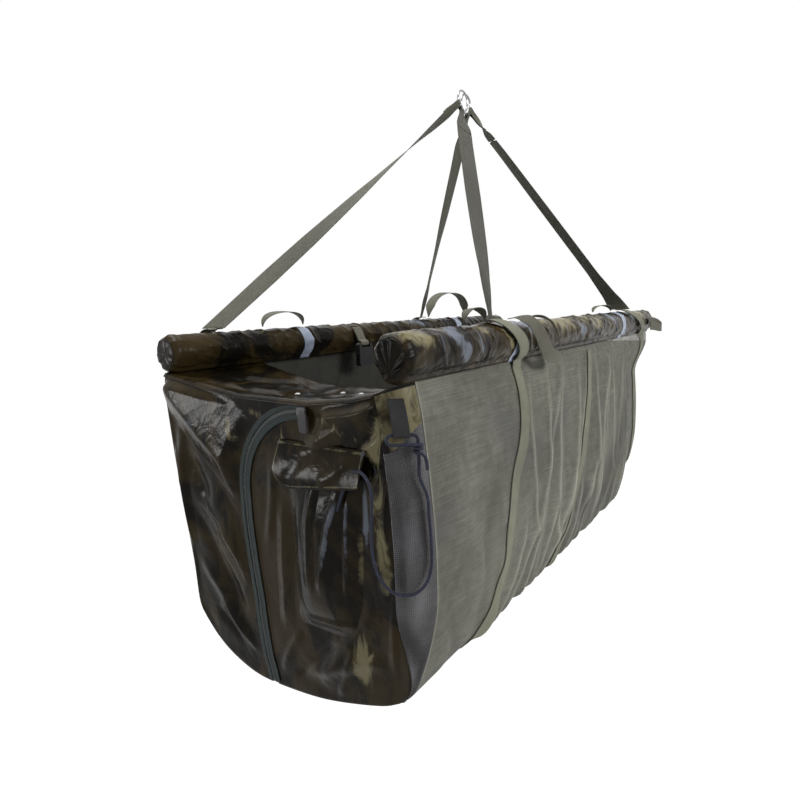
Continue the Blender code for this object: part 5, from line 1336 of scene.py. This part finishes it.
def wire_ring(name, node, body, centre):
    """A torus: a small circle of the wire's radius carried round the ring's."""
    a, b = np.linspace(0, 2 * math.pi, 97)[:-1, None], np.linspace(0, 2 * math.pi, 25)[None, :-1]
    r = RING_R + RING_WIRE_R * np.cos(b)
    y = centre[1] + RING_WIRE_R * np.sin(b) + 0 * a
    grid = np.stack([centre[0] + r * np.sin(a), y, centre[2] + r * np.cos(a)], -1)
    round_ring, round_wire = np.linspace(0, 2 * math.pi * RING_R, 97), np.linspace(0, 0.0126, 25)
    uv = np.stack(np.meshgrid(round_ring, round_wire, indexing="ij"), -1)
    mesh = grid_mesh(name, grid, uv, (True, True))
    return dress(name, mesh, STEEL, body, [node])


wire_ring("near_wire_ring", "ring_near", "near_ring", NEAR_RING)
wire_ring("far_wire_ring", "ring_far", "far_ring", FAR_RING)


# Grab handles
def handle(node, body, x0, x1, y, height, half, inward, power=2.4):
    """An arch of webbing: a superellipse across the tube's top, leaning a little towards the bag."""
    middle, reach = (x0 + x1) / 2, (x1 - x0) / 2
    t = np.linspace(math.pi, 0, 90)
    out = np.sign(np.cos(t)) * np.abs(np.cos(t)) ** (2 / power) * reach
    up = np.abs(np.sin(t)) ** (2 / power) * height
    up[[0, -1]] = -0.0008
    widths = np.minimum(half, 0.0012 + 0.45 * np.maximum(up, 0))
    tilt = math.radians(5) * inward
    z = TUBE_Z + TUBE_R + 0.0017 + up * math.cos(tilt)
    path = np.stack([middle + out, y + up * math.sin(tilt), z], 1)
    side = np.tile((0.0, math.cos(tilt), -math.sin(tilt)), (len(t), 1))
    return strip(node + "_webbing", node, body, path, side, widths, HANDLE, 0.0012)


MID_HALF, MID_TURN, MID_R = 0.0115, math.radians(65), TUBE_R + 0.0175
MID_AT = (0, 0.12, 0.35, 0.50, 0.65, 0.88, 1)
MID_X = (-0.281, -0.279, -0.232, -0.188, -0.176, -0.204, -0.216)


def mid_handle():
    """The slack handle: out over the front tube's side, then straight down, turned to show its face."""
    t = np.linspace(0, 1, 31)
    quarter = math.pi / 2 * MID_R
    drop = (quarter + 0.034) * np.sin(np.pi * t) ** 0.7
    angle = np.minimum(drop / quarter, 1) * math.pi / 2
    beyond = np.maximum(drop - quarter, 0)
    radius = TUBE_R + 0.0017 + (MID_R - TUBE_R - 0.0017) * ease(angle / 1.15)
    radius[[0, -1]] = TUBE_R + 0.0010
    path = np.stack([np.interp(t, MID_AT, MID_X), FRONT_Y - radius * np.sin(angle),
                     TUBE_Z + radius * np.cos(angle) - beyond], 1)
    path = smooth_path(path, 120)
    outward = np.stack([0 * path[:, 0], path[:, 1] - FRONT_Y, np.maximum(path[:, 2] - TUBE_Z, 0)], 1)
    room = np.linalg.norm(outward, axis=1) - TUBE_R - 0.0036
    outward = unit(outward)
    sideways = unit(np.cross(outward, np.gradient(path, axis=0)))
    side = math.cos(MID_TURN) * outward + math.sin(MID_TURN) * sideways
    widths = np.clip(1.3 * room, 0.0006, MID_HALF)
    strip("handle_front_mid_webbing", "handle_front_mid", "front_mid_handle", path, side, widths, HANDLE,
          0.0012)


handle("handle_rear_near", "rear_near_handle", -0.391, -0.2855, REAR_Y, 0.026, 0.012, -1)
handle("handle_rear_far", "rear_far_handle", 0.186, 0.382, REAR_Y, 0.064, 0.014, -1)
handle("handle_front_near", "front_near_handle", -0.420, -0.3580, FRONT_Y, 0.018, 0.008, 1, 2.2)
handle("handle_front_far", "front_far_handle", 0.150, 0.2850, FRONT_Y, 0.013, 0.0065, 1)
mid_handle()

# Buckle halves on their tabs
BAR_Z, HANG_OUT, BUCKLE_X = -0.5042, TUBE_R + 0.014, -0.150
TAB_NEAR_R, TAB_FAR_R, TAB_WRAP = TUBE_R + GAP + 0.0006, TUBE_R + GAP + 0.0022, 0.0022 + GAP + 0.0006


def tube_arc(radius, degrees):
    """Points (out from the tube's middle, z) on an arc round the tube."""
    return [(radius * math.cos(a), TUBE_Z + radius * math.sin(a)) for a in np.radians(degrees)]


def buckle_tab(side_name, sign):
    """A tab that leaves the sleeve, goes round the buckle's bar and comes back on top of itself."""
    line = tube_arc(TAB_NEAR_R, (40, 32, 24))
    line += [(HANG_OUT - TAB_WRAP * math.cos(a), BAR_Z - TAB_WRAP * math.sin(a))
             for a in np.radians(np.arange(0, 181, 30))]
    line += [(HANG_OUT + 0.0012, -0.4990), (0.0423, -0.4955), (0.0388, -0.4884)]
    line += tube_arc(TAB_FAR_R, (24, 34))
    line = smooth_path(np.array(line), 90)
    path = np.column_stack([np.full(len(line), BUCKLE_X), sign * (REAR_Y - line[:, 0]), line[:, 1]])
    strip("buckle_tab_webbing_" + side_name, "buckle_tab_" + side_name, "sling", path,
          np.tile((1.0, 0.0, 0.0), (90, 1)), 0.0125, HANDLE, 0.0011)


buckle_tab("rear", 1)
buckle_tab("front", -1)
refinish("buckle_female", PLASTIC)
refinish("buckle_male", PLASTIC)


# Hood studs
def stud(name, node):
    """A small domed stud: radius falls as the square root towards its top."""
    low, high = (np.array(p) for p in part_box(node))
    centre, r = (low + high) / 2, (high[0] - low[0]) / 2
    turn = np.linspace(0, 2 * math.pi, 33)[None, :-1]
    rise = np.array([0.0, 0.0, 0.25, 0.5, 0.7, 0.85, 0.95, 0.995])[:, None]
    rr = r * np.sqrt(1 - rise**2.2)
    rr[0] = 0.02 * r
    z = low[2] + (high[2] - low[2]) * rise + 0 * turn
    grid = np.stack([centre[0] + rr * np.cos(turn), centre[1] + rr * np.sin(turn), z], -1)
    uv = np.stack(np.meshgrid(np.arange(len(grid)) * 0.001, np.linspace(0, 0.02, 33), indexing="ij"), -1)
    mesh = grid_mesh(name, grid, uv, (False, True))
    count = len(mesh.vertices)
    extra = bpy.data.meshes.new(name + "_ends")
    ends = [list(range(32))[::-1], list(range(count - 32, count))]
    extra.from_pydata([p.co for p in mesh.vertices], [], ends)
    return dress(name, join_meshes(name, mesh, extra), WHITE, "sling", [node])


for number in (1, 2, 3):
    stud("hood_dome_%d" % number, "hood_stud_%d" % number)

# Float tubes: puckered sleeves, gathered ends and pale bands
SLEEVE_END = 0.5966
BAND_X, BAND_HALF = 0.30, 0.0125
AROUND = np.linspace(0, 2 * math.pi, 73)[:-1]

# Straw and blue marks: (x, angle round the tube, half length, half width, turn, strength)
TUBE_STRAW = {"rear": [(-0.44, 2.0, 0.080, 0.5, 0, 0.35), (-0.20, 2.0, 0.060, 0.4, 0, 0.35)],
              "front": [(-0.562, 2.2, 0.034, 1.0, 0, 1.0), (-0.405, 2.2, 0.022, 0.8, 0, 0.75),
                        (-0.352, 2.8, 0.008, 0.9, 0, 1.0), (-0.10, 2.2, 0.090, 1.0, 0, 0.9),
                        (0.10, 2.2, 0.080, 1.1, 0, 0.9), (0.45, 2.2, 0.080, 1.0, 0, 0.8)]}
TUBE_BLUE = {"rear": [(0.10, 2.2, 0.050, 0.6, 0, 0.8), (0.36, 2.0, 0.040, 0.6, 0, 0.8)],
             "front": [(-0.484, 2.8, 0.044, 1.5, 0, 1.0), (-0.245, 2.2, 0.035, 1.0, 0, 1.0),
                       (-0.02, 3.0, 0.026, 0.8, 0, 0.9), (0.21, 2.2, 0.035, 0.9, 0, 0.9),
                       (0.37, 2.2, 0.035, 0.9, 0, 0.8)]}


def sleeve_dip(x, a, seed):
    """How far the sleeve lies under its full radius: slanting rings of slack cloth and small puckers."""
    k = np.arange(46)[:, None, None]
    at = -0.59 + 1.18 * ((k * 0.618034 + 0.13 * seed) % 1.0)
    lean = 0.022 * np.sin(5.1 * k + seed)
    width = 0.0045 + 0.0040 * ((k * 0.381) % 1.0)
    height = 0.0010 + 0.0013 * ((k * 0.7548) % 1.0)
    window = 0.5 + 0.5 * np.cos(a[None] - 2.1 * k - seed)
    off = (x[None] - at - lean * np.sin(a[None] + 1.3 * k)) / width
    rings = np.sum(height * window * np.exp(-off**2), axis=0)
    puckers = 0.0058 * (0.75 - crumple(x, a * TUBE_R, 0.026, seed)).clip(0, 1)
    return rings + 0.0006 * (1 + ripple(x, a * TUBE_R, 0.05, seed)) + puckers


def sleeve_radius(x, a, seed):
    """The sleeve's radius: full, less its dips except underneath, and less at the tube's round shoulders."""
    shoulder = 0.0050 * (1 - ease((0.5975 - np.abs(x)) / 0.016)) ** 2
    free = 1 - ease((-np.sin(a) - 0.80) / 0.12)
    return TUBE_R + 0.0004 - np.minimum(sleeve_dip(x, a, seed), 0.0052) * free - shoulder


def round_tube(x, y, r, a, low=0.0):
    """Points at a radius and an angle round a tube, lowered where asked."""
    return np.stack([x, y + r * np.cos(a), TUBE_Z + r * np.sin(a) - low], -1)


def sleeve(name, y, seed):
    """The coated cloth round one tube, drawn in a little more at both ends."""
    xs = np.linspace(-SLEEVE_END, SLEEVE_END, 640)
    x, a = np.meshgrid(xs, AROUND, indexing="ij")
    r = sleeve_radius(x, a, seed) - 0.0012 * (1 - ease((0.5975 - np.abs(x)) / 0.006))
    uv = np.stack(np.meshgrid(xs, np.linspace(0, 2 * math.pi * TUBE_R, 73), indexing="ij"), -1)
    mesh = grid_mesh(name + "_sleeve_cloth", round_tube(x, y, r, a), uv, (False, True))
    piece = dress(name + "_sleeve_cloth", mesh, CAMO, "sling", [name + "_sleeve"])
    wall = piece.modifiers.new("wall", "SOLIDIFY")
    wall.thickness = 0.0006
    wall.offset = 1.0
    lean_x = x + 0.030 * np.cos(a - 0.6)
    marks(piece, spots(lean_x, a, TUBE_STRAW[name]), spots(lean_x, a, TUBE_BLUE[name]))


def foam_core(name, y):
    """The round foam inside one sleeve."""
    core = np.stack([np.linspace(-0.588, 0.588, 60), np.full(60, y), np.full(60, TUBE_Z)], 1)
    tube(name + "_foam_core", core, 0.0272, FOAM, "sling", [name + "_core"], 40)


def end_gather(name, y, seed, end, sign):
    """The sleeve's end drawn to a point: pleats that rise from the rim and fade, sagging in the middle."""
    share = np.linspace(0, 1, 26)[:, None]
    rim = sleeve_radius(np.full((1, 72), sign * SLEEVE_END), AROUND[None, :], seed) - 0.0015
    r = rim * (1 - share) + 0.0004 * share
    low = (0.018 if (name, end) == ("front", "near") else 0.004) * share
    uneven = np.sin(7 * AROUND + 1.6 * np.sin(3 * AROUND + seed))
    deep = 0.0014 if name == "front" else 0.0004
    pleat = deep * uneven[None, :] * np.sin(np.pi * np.sqrt(share)) - 0.0010
    x = sign * (SLEEVE_END + 0.0042 * np.sqrt(share) * (1 - 0.55 * share) + pleat * ease(share / 0.15))
    grid = round_tube(x, y, r, AROUND, low)
    cloth("%s_end_gather_%s" % (name, end), np.concatenate([grid, grid[:, :1]], 1), CAMO_GATHERED_SHADED, "sling",
          ["%s_cap_%s" % (name, end)], 0.0006)


def pale_band(name, y, seed, end, sign):
    """A band of tape laid on the sleeve, its edges a little wavy."""
    xs = np.linspace(sign * BAND_X - BAND_HALF, sign * BAND_X + BAND_HALF, 15)
    x, a = np.meshgrid(xs, np.append(AROUND, 2 * math.pi), indexing="ij")
    x = x + 0.0015 * np.sin(3 * a + seed) * sign
    grid = round_tube(x, y, sleeve_radius(x, a, seed) + 0.0007, a)
    cloth("%s_pale_band_%s" % (name, end), grid, TAPE, "sling", ["%s_band_%s" % (name, end)],
          0.0005, np.stack([x, a * TUBE_R], -1))


for tube_name, tube_y, tube_seed in (("rear", REAR_Y, 1.0), ("front", FRONT_Y, 2.6)):
    sleeve(tube_name, tube_y, tube_seed)
    foam_core(tube_name, tube_y)
    for end_name, end_sign in (("near", -1), ("far", 1)):
        end_gather(tube_name, tube_y, tube_seed, end_name, end_sign)
        pale_band(tube_name, tube_y, tube_seed, end_name, end_sign)

# Cord tab, knot, hank and the free cord between them
TAB_TURN = math.atan2(0.639, 0.769)
W_DIR = np.array((math.sin(TAB_TURN), -math.cos(TAB_TURN), 0.0))
N_DIR = np.array((-math.cos(TAB_TURN), -math.sin(TAB_TURN), 0.0))
EYE_OUT, EYE_Z = 0.0100, -0.5790
EYE_R = CORD_R + 0.0004 + 0.0007
KNOT_W, HELIX_R, HELIX_PITCH, KNOT_LOW = 0.0190, 0.0045, 0.0048, -0.6120
BACK_Z = EYE_Z - 0.0112
HANK_PITCH, HANK_RUN, HANK_INNER = 0.0047, 0.030, 0.0085
HANK_TURNS, HANK_LAYERS, PER_LOOP, SHIFT = 3, 3, 24, 0.25
HANK_MID = np.array((pocket_back - POCKET_DEPTH / 2, -0.1085, -0.7560))


def corner_spot(out, z):
    """A place at a distance outside the rounded corner's cloth."""
    r = CORNER_R + out
    y = front_y(z) + CORNER_R - r * math.sin(TAB_TURN)
    return np.stack([NEAR_X + CORNER_R - r * math.cos(TAB_TURN), y, z + 0 * r], -1)


EYE = corner_spot(np.array(EYE_OUT), np.array(EYE_Z))


def cord_tab():
    """A dark tab that runs down the corner, round the knot's eye and up again."""
    bow = [(EYE_OUT - EYE_R * math.cos(a), EYE_Z - EYE_R * math.sin(a))
           for a in np.radians(np.linspace(0, 180, 9))]
    line = smooth_path([(0.0018, -0.5380), (0.0026, -0.5520), (0.0046, -0.5660)] + bow
                       + [(0.0118, -0.5660), (0.0076, -0.5530), (0.0041, -0.5390)], 90)
    strip("cord_tab_webbing", "cord_tab", "sling", corner_spot(line[:, 0], line[:, 1]),
          np.tile(W_DIR, (90, 1)), 0.0100, DARK_WEB, 0.0012)


def knot_at(w, n, z):
    """A place of the knot: along the tab's width, out of the tab, and a height."""
    return np.array((EYE[0], EYE[1], 0)) + w * W_DIR + n * N_DIR + np.array((0, 0, z))


def knot_path():
    """The knot: up beside the tab, through its eye, round behind, and two turns about its own start."""
    mid, r = (EYE_Z + BACK_Z) / 2, (EYE_Z - BACK_Z) / 2
    line = [knot_at(KNOT_W, 0, z) for z in np.linspace(KNOT_LOW, EYE_Z - 0.0075, 6)]
    line += [knot_at(KNOT_W - 0.0070 + 0.0070 * math.cos(a), 0, EYE_Z - 0.0070 + 0.0070 * math.sin(a))
             for a in np.radians(np.linspace(12, 90, 5))]
    line += [knot_at(w, 0, EYE_Z) for w in (0.006, 0.0, -0.006, -0.0115)]
    line += [knot_at(-0.0125 - r * math.sin(a), 0.0004 * k, mid + r * math.cos(a))
             for k, a in enumerate(np.radians(np.linspace(25, 180, 6)))]
    line += [knot_at(-0.006, 0.0022, BACK_Z), knot_at(0.001, 0.0032, BACK_Z), knot_at(0.008, 0.0040, BACK_Z),
             knot_at(0.0140, HELIX_R, BACK_Z - 0.0001)]
    for k in range(29):
        a = math.radians(90) - 4 * math.pi * k / 28
        z = BACK_Z - 0.0003 - HELIX_PITCH * k / 14
        line.append(knot_at(KNOT_W + HELIX_R * math.cos(a), HELIX_R * math.sin(a), z))
    z = line[-1][2]
    line += [knot_at(KNOT_W + 0.0035, 0.0050, z - 0.0012), knot_at(KNOT_W + 0.0070, 0.0060, z - 0.0050),
             knot_at(KNOT_W + 0.0085, 0.0065, z - 0.0110), knot_at(KNOT_W + 0.0090, 0.0068, z - 0.0200)]
    return smooth_path(np.array(line), 260)


def race(phase, r):
    """Points of a racetrack loop: round ends joined by straight runs along Z."""
    quarter = (phase % 1.0) * 4
    part, t = np.floor(quarter), quarter % 1.0
    a = math.pi * t
    which = [part == 0, part == 1, part == 2]
    y = np.select(which, [-r * np.cos(a), r, r * np.cos(a)], -r)
    top, low = HANK_RUN / 2 + r * np.sin(a), -HANK_RUN / 2 - r * np.sin(a)
    z = np.select(which, [top, HANK_RUN / 2 - HANK_RUN * t, low], -HANK_RUN / 2 + HANK_RUN * t)
    return y, z


def hank_points():
    """The coil: each turn a pitch wider, narrower again in the next layer, a short step between layers."""
    k = np.arange(PER_LOOP * HANK_TURNS * HANK_LAYERS)
    layer, inside = k // (PER_LOOP * HANK_TURNS), (k % (PER_LOOP * HANK_TURNS)) / PER_LOOP
    growing = HANK_TURNS - SHIFT
    final = layer == HANK_LAYERS - 1
    grow = np.where(final, inside, np.minimum(inside, growing))
    grow = np.where(layer % 2 == 1, growing - grow, grow)
    shift = np.where(final, 0.0, ease((inside - growing) / SHIFT))
    y, z = race(inside, HANK_INNER + HANK_PITCH * grow)
    return HANK_MID + np.stack([-(layer - 1 + shift) * HANK_PITCH, y, z], 1)


def free_path(hank):
    """The free cord: out of the hank, over the pocket's edge, a slack bight, and up to the knot."""
    leave = unit(hank[-1] - hank[-2])
    start = hank[-1] + leave * 0.0003
    stop = knot_at(KNOT_W, 0, KNOT_LOW - 0.0003)
    route = [start, start + leave * 0.012, (-0.6130, -0.1410, -0.6950), (-0.6110, -0.1540, -0.6580),
             (-0.6115, -0.1680, -0.6335), (-0.6150, -0.1850, -0.6262), (-0.6200, -0.1985, -0.6290),
             (-0.6225, -0.2065, -0.6370), (-0.6215, -0.2085, -0.6500), (-0.6190, -0.2055, -0.6720),
             (-0.6180, -0.2025, -0.7000), (-0.6175, -0.2030, -0.7280), (-0.6165, -0.2090, -0.7510),
             (-0.6130, -0.2215, -0.7685), (-0.6075, -0.2365, -0.7745), (-0.5985, -0.2510, -0.7720),
             (-0.5880, -0.2605, -0.7600), (-0.5810, -0.2635, -0.7400), (-0.5790, -0.2630, -0.7120),
             (-0.5795, -0.2615, -0.6800), (-0.5800, -0.2600, -0.6550),
             stop - np.array((-0.0005, 0.0002, 0.0180)), stop]
    return smooth_path(np.array([np.asarray(p, float) for p in route]), 160)


cord_tab()
hank_turns = hank_points()
free_line = free_path(hank_turns)
hank_line = smooth_path(hank_turns, 700)
knot_piece = tube("cord_knot_round", knot_path(), CORD_R, CORD, "sling", ["cord_knot"])
hank_piece = tube("cord_hank_round", hank_line, CORD_R, CORD, "sling", ["cord_hank"], 10)
free_piece = tube("retaining_cord_round", free_line, CORD_R, CORD, "sling", ["retaining_cord"])

# Camera at the photograph's place, soft lamps, pale floor and backdrop
CAMERA_LENS, SENSOR_WIDTH = 25.753, 36.0
CAMERA_PLACE = [[0.58248, 0.14690, -0.79946, -1.12325], [-0.81191, 0.05794, -0.58091, -0.62028],
                [-0.03902, 0.98747, 0.15302, -0.43762], [0, 0, 0, 1]]
FLOOR_Z, FLOOR_HALF = -1.45, 6


def place_camera():
    """The camera fitted to the photo."""
    data = bpy.data.cameras.new("camera")
    data.lens = CAMERA_LENS
    data.sensor_width = SENSOR_WIDTH
    data.clip_start = 0.01
    camera = bpy.data.objects.new("camera", data)
    camera.matrix_world = Matrix(CAMERA_PLACE)
    bpy.context.scene.collection.objects.link(camera)
    bpy.context.scene.camera = camera


def lamp(name, place, aim, size, power):
    """A square soft lamp turned from its place towards a point."""
    data = bpy.data.lights.new(name, "AREA")
    data.shape = "RECTANGLE"
    data.size, data.size_y = size
    data.energy = power
    piece = bpy.data.objects.new(name, data)
    piece.location = place
    piece.rotation_euler = (Vector(aim) - Vector(place)).to_track_quat("-Z", "Y").to_euler()
    bpy.context.scene.collection.objects.link(piece)


def in_view(t):
    """1 for what the camera sees, straight or by way of gloss or glass, and 0 for light on the model."""
    paths = t.add("ShaderNodeLightPath").outputs
    beyond = t.maths("MAXIMUM", paths["Is Glossy Ray"], paths["Is Transmission Ray"])
    return t.maths("MAXIMUM", paths["Is Camera Ray"], beyond)


def backdrop():
    """A white world in view that lights the model only a little."""
    world = bpy.data.worlds.new("studio")
    bpy.context.scene.world = world
    world.use_nodes = True
    world.node_tree.nodes.clear()
    t = Tree(world.node_tree)
    strength = t.maths("ADD", t.maths("MULTIPLY", in_view(t), 0.91), 0.09)
    back = t.add("ShaderNodeBackground", None, Color=(1.0, 1.0, 1.0), Strength=strength)
    t.tree.links.new(back.outputs[0], t.add("ShaderNodeOutputWorld").inputs[0])


def floor_finish():
    """A pale, slightly speckled floor, nearly white in view."""
    material, t, shader = new_finish("pale floor")
    shader.inputs["Roughness"].default_value = 0.9
    speck = t.noise(t.coordinates(), 30.0, 3.0)
    wire(t, t.mix(speck, (0.60, 0.60, 0.60), (0.64, 0.64, 0.64)), shader, "Base Color")
    glow = t.add("ShaderNodeEmission", None, Color=(1.0, 1.0, 1.0), Strength=1.2)
    blend = t.add("ShaderNodeMixShader")
    wire(t, t.maths("MULTIPLY", in_view(t), 0.85), blend, 0)
    wire(t, shader.outputs[0], blend, 1)
    wire(t, glow.outputs[0], blend, 2)
    wire(t, blend.outputs[0], t.tree.nodes["Material Output"], 0)
    return material


def ground():
    """The square floor under the hanging sling."""
    corners = [(x * FLOOR_HALF, y * FLOOR_HALF, FLOOR_Z) for x, y in ((-1, -1), (1, -1), (1, 1), (-1, 1))]
    mesh = bpy.data.meshes.new("pale_floor")
    mesh.from_pydata(corners, [], [(0, 1, 2, 3)])
    mesh.materials.append(floor_finish())
    piece = bpy.data.objects.new("pale_floor", mesh)
    bpy.context.scene.collection.objects.link(piece)


place_camera()
lamp("top lamp", (-0.4, 0.3, 1.8), (0, 0, -0.5), (2.0, 1.0), 54)
lamp("side lamp", (-0.2, -2.7, 0.5), (0, -0.1, -0.7), (1.6, 1.0), 50)
lamp("near lamp", (-2.5, 1.75, -0.33), (-0.6, 0.05, -0.66), (0.8, 0.5), 20)
backdrop()
ground()

bpy.context.scene.view_settings.view_transform = "Standard"
